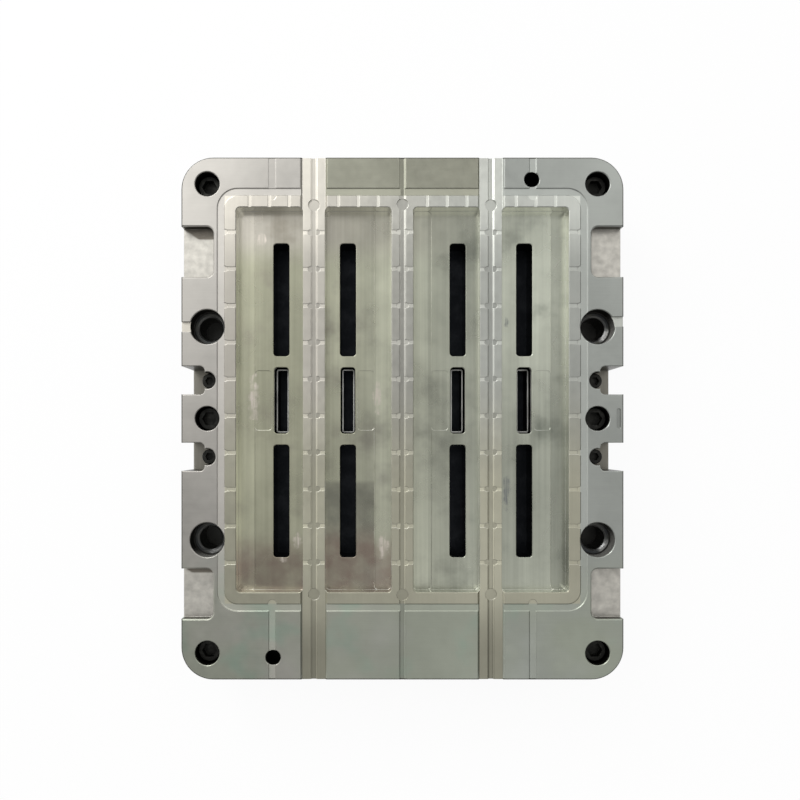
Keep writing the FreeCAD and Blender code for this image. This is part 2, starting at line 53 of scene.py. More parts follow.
plate_low, plate_high = [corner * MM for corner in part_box("cavity_plate")]
openings = {
    opening["name"]: [Vector(corner) * MM for corner in opening["box_m"]]
    for opening in frame["record"]["physics"]["openings"]
}
pockets = [openings["pocket_" + letter] for letter in "abcd"]

face_z = plate_high.z
ledge_z = plate_low.z
pocket_depth = face_z - pockets[0][0].z + POCKET_BOX_LIFT
pry_depth = face_z - openings["pry_slot_upper_left"][0].z + PRY_BOX_LIFT
pocket_pitch = pockets[1][0].x - pockets[0][0].x
field_half_x = pockets[-1][1].x + POCKET_BOX_MARGIN
field_low_y = pockets[0][0].y - POCKET_BOX_MARGIN
field_high_y = pockets[0][1].y + POCKET_BOX_MARGIN
field_centre_y = (field_low_y + field_high_y) / 2
field_half_y = (field_high_y - field_low_y) / 2
print("parting face at", round(face_z, 1), "mm, pockets", round(pocket_depth, 1), "mm deep")

# %% Measure the columns of holes
PLATE_SCREW_HEAD_R = 12.0
SIDE_SCREW_HEAD_R = 8.0
HEAD_CLEARANCE = 1.0
BUSH_RECESS_CLEARANCE = 1.5
HOLE_BOX_SHARE = 0.68

column_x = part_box("plate_screws")[1].x * MM - PLATE_SCREW_HEAD_R
corner_screw_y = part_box("plate_screws")[1].y * MM - PLATE_SCREW_HEAD_R
side_screw_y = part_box("side_screws")[1].y * MM - SIDE_SCREW_HEAD_R
bush_low, bush_high = [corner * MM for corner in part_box("guide_bush_upper_right")]
bush_recess_r = (bush_high.x - bush_low.x) / 2 - BUSH_RECESS_CLEARANCE
bush_bore_r = next(
    mount["dims"]["r_mm"]
    for mount in frame["record"]["mounts"]
    if mount["name"] == "guide_bore_upper_right"
)
upper_bush_y = (bush_low.y + bush_high.y) / 2
lower_bush_y = sum(corner.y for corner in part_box("guide_bush_lower_right")) / 2 * MM
stop_hole = sum(openings["stop_hole_upper"], Vector()) / 2
stop_hole_r = (openings["stop_hole_upper"][1].x - stop_hole.x) / HOLE_BOX_SHARE
print("hole column", round(column_x, 1), "mm from the middle, guide bores", 2 * bush_bore_r, "mm")

# %% [markdown]
# ## Two helpers
# Colours are easiest to read as the hex values of a colour chart, but shaders work in
# linear light, so one function turns one into the other. The second adds a node,
# fills in its settings and inputs, and hands back the output that the next node will
# use. An input may be a number, a colour, or the output of an earlier node.

# %% Colour and node helpers
def linear(hex_colour):
    """An sRGB hex colour as the linear RGBA that shaders take."""
    channels = [int(hex_colour[k:k + 2], 16) / 255 for k in (1, 3, 5)]
    return [c / 12.92 if c <= 0.04045 else ((c + 0.055) / 1.055) ** 2.4 for c in channels] + [1.0]


def add(tree, kind, inputs=None, out=0, **settings):
    """Adds one node to a tree and returns one of its outputs."""
    node = tree.nodes.new("ShaderNode" + kind)
    for name, value in settings.items():
        setattr(node, name, value)
    for key, value in (inputs or {}).items():
        if isinstance(value, bpy.types.NodeSocket):
            tree.links.new(value, node.inputs[key])
        else:
            node.inputs[key].default_value = value
    return node.outputs[out]


print("mid grey in linear light:", round(linear("#808080")[0], 3))

# %% [markdown]
# ## Settings that come back
# A Mix node has sockets 6 and 7 for two colours, 2 and 3 for two numbers, and 0 for
# the share of the second. A Map Range node has the value at 0, where it starts and is
# full at 1 and 2, and what comes out there at 3 and 4, 0 and 1 if unset. A named
# ramp, such as NOISE_SPAN, is written with those numbers. Noise seldom leaves it.

# %% Settings by name
COLOURS = {"out": 2, "data_type": "RGBA"}
NUMBERS = {"data_type": "FLOAT"}
SMOOTH = {"interpolation_type": "SMOOTHSTEP"}
PLUS = {"operation": "ADD"}
LESS = {"operation": "SUBTRACT"}
TIMES = {"operation": "MULTIPLY"}
SCALED = {"operation": "SCALE"}
LARGER = {"operation": "MAXIMUM"}
SMALLER = {"operation": "MINIMUM"}
ABSOLUTE = {"operation": "ABSOLUTE"}
LENGTH = {"out": "Value", "operation": "LENGTH"}
DISTANCE = {"out": "Value", "operation": "DISTANCE"}
LIKENESS = {"out": "Value", "operation": "DOT_PRODUCT"}
NOISE_SPAN = {1: 0.3, 2: 0.7}


def new_material(name):
    """An empty node material, its tree and its output node."""
    material = bpy.data.materials.new(name)
    material.use_nodes = True
    tree = material.node_tree
    tree.nodes.clear()
    return material, tree, tree.nodes.new("ShaderNodeOutputMaterial")


print("most noises are read over", NOISE_SPAN)

# %% [markdown]
# ## Where a point is, and what patterns cover it
# Every texture is tied to the piece through object coordinates, so the grain stays
# put when the camera moves. They are turned to millimetres, the unit of tool marks.

# %% Coordinates and patterns
MARK_ROUGHNESS = 0.6
CLOUD_ROUGHNESS = 0.55


def place(tree):
    """The point on the piece in millimetres, and its X, Y and Z."""
    metres = add(tree, "TexCoord", out="Object")
    point = add(tree, "VectorMath", {0: metres, "Scale": MM}, **SCALED)
    return point, add(tree, "SeparateXYZ", {0: point}).node.outputs


def streaks(tree, point, size_x, size_y, detail=3.0):
    """Noise drawn out into tool marks, each size_x by size_y mm."""
    per_mark = (1 / size_x, 1 / size_y, 1 / min(size_x, size_y))
    squeezed = add(tree, "VectorMath", {0: point, 1: per_mark}, **TIMES)
    noise = {"Vector": squeezed, "Scale": 1.0, "Detail": detail, "Roughness": MARK_ROUGHNESS}
    return add(tree, "TexNoise", noise, out="Fac")


def blotches(tree, point, size, detail=3.0, shift=0.0):
    """Soft clouds, size mm from one to the next. Another shift gives other clouds."""
    moved = add(tree, "VectorMath", {0: point, 1: (shift, shift, 0.0)}, **PLUS)
    noise = {"Vector": moved, "Scale": 1 / size, "Detail": detail, "Roughness": CLOUD_ROUGHNESS}
    return add(tree, "TexNoise", noise, out="Fac")


def layered(tree, colour, *layers):
    """A colour with tints laid over it, each through its own mask."""
    for mask, tint in layers:
        colour = add(tree, "Mix", {0: mask, 6: colour, 7: linear(tint)}, **COLOURS)
    return colour


def between(tree, value, ramps):
    """1 where the value lies inside one of the ranges, each with soft ends."""
    inside = 0.0
    for low, low_full, high_full, high in ramps:
        up = add(tree, "MapRange", {0: value, 1: low, 2: low_full})
        down = add(tree, "MapRange", {0: value, 1: high, 2: high_full})
        both = add(tree, "Math", {0: up, 1: down}, **TIMES)
        inside = add(tree, "Math", {0: inside, 1: both}, **LARGER)
    return inside


print("one unit of the scene is", MM, "mm")

# %% [markdown]
# ## Worn edges
# Handling polishes the edges of a steel plate first. The Bevel node tells what the
# normal would be if the edge were rounded, so where it differs from the real normal
# there is an edge. A noise breaks that mask up, because wear is never even. The
# rounded normal also makes every edge catch a thin line of light or of shade.

# %% Edge mask
POLISHED_EDGE = "#cfcec8"
BEVEL_SAMPLES = 16
FLAT_TO_ROUND = {1: 0.98, 2: 0.80}
HANDLED_PATCH = 18.0


def worn_edges(tree, point, radius_m):
    """1 on an edge that handling has polished; and the rounded normal."""
    rounded = add(tree, "Bevel", {"Radius": radius_m}, samples=BEVEL_SAMPLES)
    true_normal = add(tree, "NewGeometry", out="True Normal")
    alike = add(tree, "VectorMath", {0: rounded, 1: true_normal}, **LIKENESS)
    edge = add(tree, "MapRange", {0: alike, **FLAT_TO_ROUND}, **SMOOTH)
    patchy = add(tree, "MapRange", {0: blotches(tree, point, HANDLED_PATCH), 1: 0.38, 2: 0.66}, **SMOOTH)
    return add(tree, "Math", {0: edge, 1: patchy}, **TIMES), rounded


print("handled patches are about", HANDLED_PATCH, "mm wide")

# %% [markdown]
# ## From a description to a steel
# Each steel below is one function that works out a colour, a roughness and a relief
# from the place on the piece. This step makes a metal of the three and puts it on
# pieces of the CAD model. A metal takes its reflectance from its colour alone.

# %% Steel on the pieces
def dress(name, surface, *nodes):
    """Makes a steel from its surface function and puts it on CAD nodes."""
    material, tree, output = new_material(name)
    point, (x, y, z) = place(tree)
    colour, roughness, relief = surface(tree, point, x, y, z)
    metal = {"Base Color": colour, "Metallic": 1.0, "Roughness": roughness, "Normal": relief}
    tree.links.new(add(tree, "BsdfPrincipled", metal), output.inputs["Surface"])
    for node in nodes:
        for slot in frame["nodes"][node].material_slots:
            slot.link = "OBJECT"
            slot.material = material
    print(name, "on", len(nodes), "node(s)")


bushes = [name for name in frame["nodes"] if name.startswith("guide_bush")]
inserts = [name for name in frame["nodes"] if name.startswith(("floor_insert", "core_seat"))]
print(len(bushes), "bushes and", len(inserts), "inserts to dress")

# %% [markdown]
# ## The cavity plate, step 1: which tool cut this point
# The plate is pre-hardened tool steel. It carries many finishes, so its material picks
# by place. Depth below the parting face tells most: vents, grooves, pocket floors and
# pry slots lie at depths of their own. The plan tells the rest: the land and the pocket
# field are frames inside one another. A range of depths has four ends: where it
# starts, is full, is still full, and stops.

# %% Regions of the cavity plate
SMALL_CUTS = ((0.42, 0.48, 1.00, 1.06), (2.42, 2.50, 2.84, 2.92))
GROOVES = ((1.10, 1.16, 2.00, 2.10), (3.00, 3.10, 4.40, 4.60))
CHANNELS = ((1.6, 2.1, 4.4, 4.6),)
PRY_FLOORS = ((pry_depth - 0.6, pry_depth - 0.3, pry_depth + 0.3, pry_depth + 0.6),)
NEAR_FLOOR = 0.3
STRIP_DROP = 0.7
STRIP_BLUR = 0.1
FIELD_BLUR = 0.4
RING_BLUR = 0.5
LAND_STARTS, LAND_FULL = 0.6, -0.2
RIM_STARTS, RIM_FULL = 1.5, 1.0
WALL_TO_FLOOR = {1: 0.3, 2: 0.5}
WARM_TO_COOL = {1: -150.0, 2: 130.0}
TOP_STARTS_Y = 150.0


def past_frame(tree, x, y, half_x, half_y):
    """How far a point in plan lies outside a rectangle, along X and along Y."""
    away_x = add(tree, "Math", {0: x}, **ABSOLUTE)
    away_y = add(tree, "Math", {0: y}, **ABSOLUTE)
    past_x = add(tree, "Math", {0: away_x, 1: half_x}, **LESS)
    return past_x, add(tree, "Math", {0: away_y, 1: half_y}, **LESS)


def edge_strip(tree, x, y):
    """1 on the narrow strip along the plate's rounded outline."""
    past_x, past_y = past_frame(tree, x, y, plate_high.x - PLATE_CORNER_R, plate_high.y - PLATE_CORNER_R)
    corner = add(tree, "VectorMath", {0: add(tree, "CombineXYZ", {0: past_x, 1: past_y})}, **LARGER)
    reach = add(tree, "VectorMath", {0: corner}, **LENGTH)
    return add(tree, "MapRange", {0: reach, 1: PLATE_CORNER_R - RIM_STARTS, 2: PLATE_CORNER_R - RIM_FULL})


def plate_regions(tree, x, y, z):
    """Masks, each 1 where its name is true; also the depth, and X in pockets."""
    depth = add(tree, "Math", {0: face_z, 1: z}, **LESS)
    off_centre_y = add(tree, "Math", {0: y, 1: field_centre_y}, **LESS)
    past_x, past_y = past_frame(tree, x, off_centre_y, field_half_x, field_half_y)
    past_field = add(tree, "Math", {0: past_x, 1: past_y}, **LARGER)
    normal_z = add(tree, "SeparateXYZ", {0: add(tree, "NewGeometry", out="True Normal")}, out="Z")
    facing_up = add(tree, "MapRange", {0: normal_z, **WALL_TO_FLOOR})
    field = add(tree, "MapRange", {0: past_field, 1: FIELD_BLUR, 2: 0.0})
    near_floor = pocket_depth - NEAR_FLOOR
    at_floor = add(tree, "MapRange", {0: depth, 1: near_floor - NEAR_FLOOR, 2: near_floor})
    outside = add(tree, "MapRange", {0: past_field, 1: RING_MARGIN, 2: RING_MARGIN + RING_BLUR})
    channel = add(tree, "Math", {0: between(tree, depth, CHANNELS), 1: facing_up}, **TIMES)
    ring_edge = RING_MARGIN - RING_WIDTH
    land = add(tree, "MapRange", {0: past_field, 1: ring_edge + LAND_STARTS, 2: ring_edge + LAND_FULL})
    pry = add(tree, "Math", {0: between(tree, depth, PRY_FLOORS), 1: outside}, **TIMES)
    mid_strip = pocket_depth + STRIP_DROP / 2
    return {
        "depth": depth,
        "pitches": add(tree, "Math", {0: x, 1: pocket_pitch}, operation="DIVIDE"),
        "cut": between(tree, depth, SMALL_CUTS),
        "groove": between(tree, depth, GROOVES),
        "channel": channel,
        "facing_up": facing_up,
        "upright": add(tree, "Math", {0: 1.0, 1: facing_up}, **LESS),
        "field": field,
        "outside": outside,
        "land": add(tree, "Math", {0: land, 1: channel}, **LARGER),
        "pocket": add(tree, "Math", {0: at_floor, 1: field}, **TIMES),
        "strip": add(tree, "MapRange", {0: depth, 1: mid_strip - STRIP_BLUR, 2: mid_strip + STRIP_BLUR}),
        "pry": add(tree, "Math", {0: pry, 1: facing_up}, **TIMES),
        "edge_strip": edge_strip(tree, x, y),
        "left": add(tree, "MapRange", {0: x, 1: 1.0, 2: -1.0}),
        "cool": add(tree, "MapRange", {0: x, **WARM_TO_COOL}, **SMOOTH),
        "top": add(tree, "MapRange", {0: y, 1: TOP_STARTS_Y, 2: field_high_y}, **SMOOTH),
    }


print("small cuts lie at depths", SMALL_CUTS)

# %% [markdown]
# ## The cavity plate, step 2: the round holes
# The holes lie in two columns, mirrored left and right, so folding the plan onto one
# side finds them all with few nodes. The two stop holes are turned half round instead.

# %% Distance to the nearest hole
def from_bush_axis(tree, x, y):
    """How far a point in plan lies from the nearest bush's axis."""
    mirrored = add(tree, "CombineXYZ", {0: add(tree, "Math", {0: x}, **ABSOLUTE), 1: y})
    upper = add(tree, "VectorMath", {0: mirrored, 1: (column_x, upper_bush_y, 0)}, **DISTANCE)
    lower = add(tree, "VectorMath", {0: mirrored, 1: (column_x, lower_bush_y, 0)}, **DISTANCE)
    return add(tree, "Math", {0: upper, 1: lower}, **SMALLER)


def gap_to_hole(tree, x, y):
    """How far a point in plan lies outside the nearest hole, and outside a bush recess."""
    away_x = add(tree, "Math", {0: x}, **ABSOLUTE)
    away_y = add(tree, "Math", {0: y}, **ABSOLUTE)
    turned_x = add(tree, "Math", {0: x, 1: add(tree, "Math", {0: y}, operation="SIGN")}, **TIMES)
    folded = add(tree, "CombineXYZ", {0: away_x, 1: away_y})
    turned = add(tree, "CombineXYZ", {0: turned_x, 1: away_y})
    holes = (
        (folded, column_x, corner_screw_y, PLATE_SCREW_HEAD_R + HEAD_CLEARANCE),
        (folded, column_x, 0.0, PLATE_SCREW_HEAD_R + HEAD_CLEARANCE),
        (folded, column_x, side_screw_y, SIDE_SCREW_HEAD_R + HEAD_CLEARANCE),
        (turned, stop_hole.x, stop_hole.y, stop_hole_r),
    )
    bush = add(tree, "Math", {0: from_bush_axis(tree, x, y), 1: bush_recess_r}, **LESS)
    nearest = bush
    for seen, hole_x, hole_y, radius in holes:
        reach = add(tree, "VectorMath", {0: seen, 1: (hole_x, hole_y, 0)}, **DISTANCE)
        gap = add(tree, "Math", {0: reach, 1: radius}, **LESS)
        nearest = add(tree, "Math", {0: nearest, 1: gap}, **SMALLER)
    return nearest, bush


print("stop holes are", round(2 * stop_hole_r, 1), "mm wide")

# %% [markdown]
# ## The cavity plate, step 3: the ground face
# Ground steel is an even grey, a little warm where it was handled and greener towards
# the lower end, where rust-proofing oil dried on it. Above the two middle pockets it
# is darker.

# %% Ground face
GROUND_WARM = "#adaaa4"
GROUND_COOL = "#9fa29d"
GROUND_OILED = "#9a9f90"
GREEN_STAIN = "#93a395"
TOP_PANEL = "#99998b"
OILED_LOWER_END = {1: -120.0, 2: -215.0, 4: 0.8}
OIL_CLOUD = 85.0
STAIN_CLOUD = 70.0
PANEL_BLUR = 2.0


def ground_colour(tree, x, y, point, at):
    """Ground steel with oil and stains at its lower end."""
    low = add(tree, "MapRange", {0: y, **OILED_LOWER_END}, **SMOOTH)
    uneven = add(tree, "MapRange", {0: blotches(tree, point, OIL_CLOUD, 2.0), 1: 0.30, 2: 0.55, 3: 0.3})
    oil_and_painted_light = add(tree, "Math", {0: low, 1: uneven}, **TIMES)
    stain = blotches(tree, point, STAIN_CLOUD, 3.0, 400.0)
    stain = add(tree, "MapRange", {0: stain, 1: 0.50, 2: 0.68}, **SMOOTH)
    stain = add(tree, "Math", {0: stain, 1: low}, **TIMES)
    away_x = add(tree, "Math", {0: x}, **ABSOLUTE)
    inner = add(tree, "MapRange", {0: away_x, 1: pocket_pitch + PANEL_BLUR, 2: pocket_pitch - PANEL_BLUR})
    panel = add(tree, "Math", {0: at["top"], 1: inner}, **TIMES)
    panel = add(tree, "Math", {0: panel, 1: at["facing_up"]}, **TIMES)
    layers = ((at["cool"], GROUND_COOL), (oil_and_painted_light, GROUND_OILED), (stain, GREEN_STAIN), (panel, TOP_PANEL))
    return layered(tree, linear(GROUND_WARM), *layers)


print("oil has dried on the face below y =", OILED_LOWER_END[1], "mm")

# %% [markdown]
# ## The cavity plate, step 4: lands and small cuts
# The lands round the pockets were milled and are lighter than the ground face. Towards
# the top, lands and channels are painted brighter still: painted light. Vents were cut
# with a small cutter, so they are pale, and grooves lie in a little painted shade. The
# wide channels shine, and their lower ends are painted darker: painted shade.

# %% Lands and small cuts
LAND_WARM = "#aba79e"
LAND_COOL = "#a5a7a1"
LAND_OILED = "#a8a695"
LAND_SHINE = 1.02
TOP_SHINE = 1.38
OILED_LOWER_HALF = {1: 60.0, 2: -80.0}
SMALL_CUT_SHINE = 1.22
GROOVE_SHADE = 0.84
CHANNEL_SHINE = 1.20
CHANNEL_END_SHADE = 0.60
CHANNEL_END = 20.0


def land_colour(tree, y, at):
    """Milled steel, greener in the lower half, with painted light at the top."""
    lower = add(tree, "MapRange", {0: y, **OILED_LOWER_HALF}, **SMOOTH)
    land = layered(tree, linear(LAND_WARM), (at["cool"], LAND_COOL), (lower, LAND_OILED))
    # Painted light: lands and channels are brighter towards the top.
    shine = add(tree, "MapRange", {0: at["top"], 3: LAND_SHINE, 4: TOP_SHINE})
    return add(tree, "VectorMath", {0: land, "Scale": shine}, **SCALED)


def face_colour(tree, x, y, point, at):
    """Ground face and lands, lighter or darker where something is cut into them."""
    ground = ground_colour(tree, x, y, point, at)
    colour = add(tree, "Mix", {0: at["land"], 6: ground, 7: land_colour(tree, y, at)}, **COLOURS)
    # Painted shade: the lower ends of the wide channels are darker.
    low_end = {1: field_low_y + CHANNEL_END, 2: plate_low.y + CHANNEL_END}
    low_end = add(tree, "MapRange", {0: y, **low_end}, **SMOOTH)
    low_end = add(tree, "Math", {0: low_end, 1: at["channel"]}, **TIMES)
    changes = (
        (at["cut"], SMALL_CUT_SHINE),
        (at["groove"], GROOVE_SHADE),
        (at["channel"], CHANNEL_SHINE),
        (low_end, CHANNEL_END_SHADE),
    )
    for mask, change in changes:
        factor = add(tree, "MapRange", {0: mask, 3: 1.0, 4: change})
        colour = add(tree, "VectorMath", {0: colour, "Scale": factor}, **SCALED)
    return colour


print("small cuts shine", SMALL_CUT_SHINE, "times as much")

# %% [markdown]
# ## The cavity plate, step 5: stoned pocket floors
# The pocket floors were milled and then stoned by hand, one after the other. That
# leaves them olive and smoky, with soft bands along the stone's strokes, and no two
# alike. So each pocket has three tones: for its lower half, its upper half and its
# top end.

# %% Stoned pocket floors
STONED_WARM = "#a4a48f"
STONED_COOL = "#a6a99c"
STONED_TOP = "#a6a298"
SMOKE_WARM = "#8f8a7e"
SMOKE_COOL = "#878b80"
POCKET_TONES = ((1.03, 0.88, 1.04), (0.97, 1.11, 0.92), (0.98, 1.03, 0.97), (0.93, 1.06, 0.96))
LOWER_TO_UPPER = {1: -80.0, 2: 80.0}
TOP_END = {1: 160.0, 2: 200.0}
UPPER_RIGHT = {1: -60.0, 2: 90.0}
STONED_SHINE = 1.08
RIGHT_SHINE = 1.34
WALL_BLUR = 5.0
SMOKE_CLOUD = 52.0
STONE_BAND = (16.0, 700.0)
STONE_LINE = (3.0, 260.0)


def pocket_shine(tree, x, y, top):
    """How bright the floors are. The right one shines in its upper half."""
    shine = None
    for k, (low_tone, high_tone, top_tone) in enumerate(POCKET_TONES):
        wall_x = (k - 2) * pocket_pitch
        tone = add(tree, "MapRange", {0: y, **LOWER_TO_UPPER, 3: low_tone, 4: high_tone}, **SMOOTH)
        tone = add(tree, "Mix", {0: top, 2: tone, 3: top_tone}, **NUMBERS)
        if shine is None:
            shine = tone
            continue
        past_wall = add(tree, "MapRange", {0: x, 1: wall_x - WALL_BLUR, 2: wall_x + WALL_BLUR})
        shine = add(tree, "Mix", {0: past_wall, 2: shine, 3: tone}, **NUMBERS)
    right = add(tree, "MapRange", {0: x, 1: pocket_pitch - WALL_BLUR, 2: pocket_pitch + WALL_BLUR})
    upper = add(tree, "MapRange", {0: y, **UPPER_RIGHT}, **SMOOTH)
    right = add(tree, "Math", {0: right, 1: upper}, **TIMES)
    right = add(tree, "MapRange", {0: right, 3: STONED_SHINE, 4: RIGHT_SHINE})
    return add(tree, "Math", {0: right, 1: shine}, **TIMES)


def stoned_colour(tree, x, y, point, at):
    """Stoned steel with smoke clouds and the strokes of the stone."""
    top = add(tree, "MapRange", {0: y, **TOP_END}, **SMOOTH)
    warm = add(tree, "Math", {0: 1.0, 1: at["cool"]}, **LESS)
    warm_top = add(tree, "Math", {0: top, 1: warm}, **TIMES)
    stoned = layered(tree, linear(STONED_WARM), (at["cool"], STONED_COOL), (warm_top, STONED_TOP))
    stoned = add(tree, "VectorMath", {0: stoned, "Scale": pocket_shine(tree, x, y, top)}, **SCALED)
    smoky = blotches(tree, point, SMOKE_CLOUD, 4.0, 210.0)
    smoky = add(tree, "MapRange", {0: smoky, 1: 0.48, 2: 0.80}, **SMOOTH)
    smoke = layered(tree, linear(SMOKE_WARM), (at["cool"], SMOKE_COOL))
    stoned = add(tree, "Mix", {0: smoky, 6: stoned, 7: smoke}, **COLOURS)
    bands = streaks(tree, point, *STONE_BAND, 2.0)
    bands = add(tree, "MapRange", {0: bands, 1: 0.35, 2: 0.65, 3: 0.95, 4: 1.05})
    lines = streaks(tree, point, *STONE_LINE, 2.0)
    lines = add(tree, "MapRange", {0: lines, 1: 0.35, 2: 0.70, 3: 0.97, 4: 1.06})
    strokes = add(tree, "Math", {0: bands, 1: lines}, **TIMES)
    return add(tree, "VectorMath", {0: stoned, "Scale": strokes}, **SCALED)


print("tones of the pockets:", POCKET_TONES)

# %% [markdown]
# ## The cavity plate, step 6: oil film and lowered strips
# Oil stood in the lower ends of the two left pockets and left a brown film, which
# reaches further up in the second one, but not over its lowered strips. The strips
# beside the walls were cut in a second pass, so they have tones of their own. The
# label panels keep the floor's.

# %% Oil film and strips
OIL_FILM = "#84766c"
OIL_FILM_OLD = "#7b7b70"
OLD_OIL = {1: -140.0, 2: -108.0}
FILM_STARTS = 75.0
FILM_FULL = 25.0
SECOND_FILM = {1: -65.0, 2: -71.0, 4: 0.9}
FILM_PATCH = 24.0
INNER_STRIP_SHINE = 1.16
LEFT_STRIP_SHINE = 1.18
RIGHT_STRIP_SHADE = 0.77
LABEL_HALF_WIDTH = 0.2


def oil_film(tree, y, point, at):
    """1 where the brown film lies in the left pockets."""
    low_end = {1: field_low_y + FILM_STARTS, 2: field_low_y + FILM_FULL, 4: 0.85}
    low_end = add(tree, "MapRange", {0: y, **low_end}, **SMOOTH)
    pocket = add(tree, "Math", {0: at["pitches"]}, operation="FLOOR")
    second = add(tree, "Math", {0: pocket, 1: 2.0}, operation="FLOORED_MODULO")
    reached = add(tree, "MapRange", {0: y, **SECOND_FILM}, **SMOOTH)
    off_strip = add(tree, "Math", {0: 1.0, 1: at["strip"]}, **LESS)
    reached = add(tree, "Math", {0: reached, 1: off_strip}, **TIMES)
    reached = add(tree, "Math", {0: reached, 1: second}, **TIMES)
    film = add(tree, "Math", {0: low_end, 1: reached}, **LARGER)
    film = add(tree, "Math", {0: film, 1: at["left"]}, **TIMES)
    patchy = blotches(tree, point, FILM_PATCH, 4.0, 150.0)
    patchy = add(tree, "MapRange", {0: patchy, 1: 0.34, 2: 0.60, 3: 0.55})
    return add(tree, "Math", {0: film, 1: patchy}, **TIMES)


def strip_shine(tree, x, at):
    """How much brighter or darker the lowered strips beside the walls are."""
    off_middle = add(tree, "Math", {0: at["pitches"]}, operation="FRACT")
    off_middle = add(tree, "Math", {0: off_middle, 1: 0.5}, **LESS)
    off_middle = add(tree, "Math", {0: off_middle}, **ABSOLUTE)
    beside_wall = add(tree, "Math", {0: off_middle, 1: LABEL_HALF_WIDTH}, operation="GREATER_THAN")
    lowered = add(tree, "Math", {0: at["strip"], 1: beside_wall}, **TIMES)
    away_x = add(tree, "Math", {0: x}, **ABSOLUTE)
    inner = add(tree, "MapRange", {0: away_x, 1: pocket_pitch, 2: pocket_pitch - WALL_BLUR})
    outer_shine = add(tree, "MapRange", {0: at["left"], 3: RIGHT_STRIP_SHADE, 4: LEFT_STRIP_SHINE})
    shine = add(tree, "Mix", {0: inner, 2: outer_shine, 3: INNER_STRIP_SHINE}, **NUMBERS)
    return add(tree, "Mix", {0: lowered, 2: 1.0, 3: shine}, **NUMBERS)


print("oil film up to y =", round(field_low_y + FILM_STARTS, 1), "mm")

# %% [markdown]
# ## The cavity plate, step 7: rinsed spots and smudges
# Drops of cleaner rinsed a few spots pale, and fingers left two dark smudges. Noise
# breaks up the outline and the strength of each spot, because a wipe is never even.

# %% Spots on the pocket floors
RINSED = "#d6cdc2"
SMUDGE = "#75787a"
RINSED_SPOTS = (
    (-113.0, -132.0, 5.0, 12.0), (-20.0, -137.0, 7.0, 17.0), (-129.0, -152.0, 6.0, 3.0),
    (-161.0, 22.0, 6.0, 30.0), (-27.0, 25.0, 5.0, 22.0), (-152.0, 193.0, 7.0, 7.0),
)
SMUDGED_SPOTS = ((113.0, -80.0, 5.0, 20.0), (113.0, 104.0, 3.5, 6.0))
WIPE_STROKE = (1.8, 26.0)
RAGGED_EDGE = 6.0


def spots(tree, x, y, point, places):
    """1 inside soft spots, each given by its middle and its half sizes in mm."""
    plan = add(tree, "CombineXYZ", {0: x, 1: y})
    nearest = None
    for spot_x, spot_y, half_x, half_y in places:
        off = add(tree, "VectorMath", {0: plan, 1: (spot_x, spot_y, 0.0)}, **LESS)
        off = add(tree, "VectorMath", {0: off, 1: (1 / half_x, 1 / half_y, 0.0)}, **TIMES)
        reach = add(tree, "VectorMath", {0: off}, **LENGTH)
        nearest = reach if nearest is None else add(tree, "Math", {0: nearest, 1: reach}, **SMALLER)
    ragged = blotches(tree, point, RAGGED_EDGE, 4.0, 33.0)
    ragged = add(tree, "MapRange", {0: ragged, **NOISE_SPAN, 3: -0.45, 4: 0.45})
    reach = add(tree, "Math", {0: nearest, 1: ragged}, **PLUS)
    inside = add(tree, "MapRange", {0: reach, 1: 1.0, 2: 0.3}, **SMOOTH)
    streaky = streaks(tree, point, *WIPE_STROKE, 2.0)
    streaky = add(tree, "MapRange", {0: streaky, 1: 0.36, 2: 0.60, 3: 0.15, 4: 0.85})
    return add(tree, "Math", {0: inside, 1: streaky}, **TIMES)


def pocket_colour(tree, x, y, point, at):
    """A pocket floor with everything that lies on it."""
    floor_steel = stoned_colour(tree, x, y, point, at)
    old = add(tree, "MapRange", {0: y, **OLD_OIL}, **SMOOTH)
    film_colour = layered(tree, linear(OIL_FILM), (old, OIL_FILM_OLD))
    film = oil_film(tree, y, point, at)
    filmed = add(tree, "Mix", {0: film, 6: floor_steel, 7: film_colour}, **COLOURS)
    colour = add(tree, "VectorMath", {0: filmed, "Scale": strip_shine(tree, x, at)}, **SCALED)
    rinsed = spots(tree, x, y, point, RINSED_SPOTS)
    smudged = spots(tree, x, y, point, SMUDGED_SPOTS)
    return layered(tree, colour, (rinsed, RINSED), (smudged, SMUDGE))


print(len(RINSED_SPOTS), "rinsed spots and", len(SMUDGED_SPOTS), "smudges")

# %% [markdown]
# ## The cavity plate, step 8: pry slots
# A crowbar goes into the pry slots, so nobody finished them: they were roughed out
# and are pale and coarse. In the two left ones a painted shadow of the upper wall lies
# along the upper side. Each band has a width of its own and a slanted end.

# %% Pry slots
PRY_FLOOR = "#c3c0b8"
PRY_PAINTED_SHADOW = "#78736a"
SHADOWED_PRY_SLOTS = (("pry_slot_upper_left", 11.0), ("pry_slot_lower_left", 6.0))
SHADOW_SLANT = 0.7
SHADOW_BLUR = 0.8


def pry_colour(tree, x, y, at):
    """The floor of the pry slots, with the painted shadow in the two left ones."""
    slanted = add(tree, "Math", {0: x, 1: SHADOW_SLANT, 2: y}, operation="MULTIPLY_ADD")
    painted_shadow = 0.0
    for name, band_width in SHADOWED_PRY_SLOTS:
        top = openings[name][1].y + POCKET_BOX_MARGIN
        start = top - SHADOW_SLANT * plate_high.x
        bottom = top - band_width
        above = add(tree, "MapRange", {0: y, 1: bottom - SHADOW_BLUR, 2: bottom + SHADOW_BLUR})
        inner = add(tree, "MapRange", {0: slanted, 1: start - 1.0, 2: start + 1.0})
        under = add(tree, "MapRange", {0: y, 1: top + 2.0, 2: top + 1.0})
        band = add(tree, "Math", {0: above, 1: inner}, **TIMES)
        band = add(tree, "Math", {0: band, 1: under}, **TIMES)
        painted_shadow = add(tree, "Math", {0: painted_shadow, 1: band}, **LARGER)
    # The dark band is a painted shadow of each slot's upper wall.
    painted_shadow = add(tree, "Math", {0: painted_shadow, 1: at["left"]}, **TIMES)
    return layered(tree, linear(PRY_FLOOR), (painted_shadow, PRY_PAINTED_SHADOW))


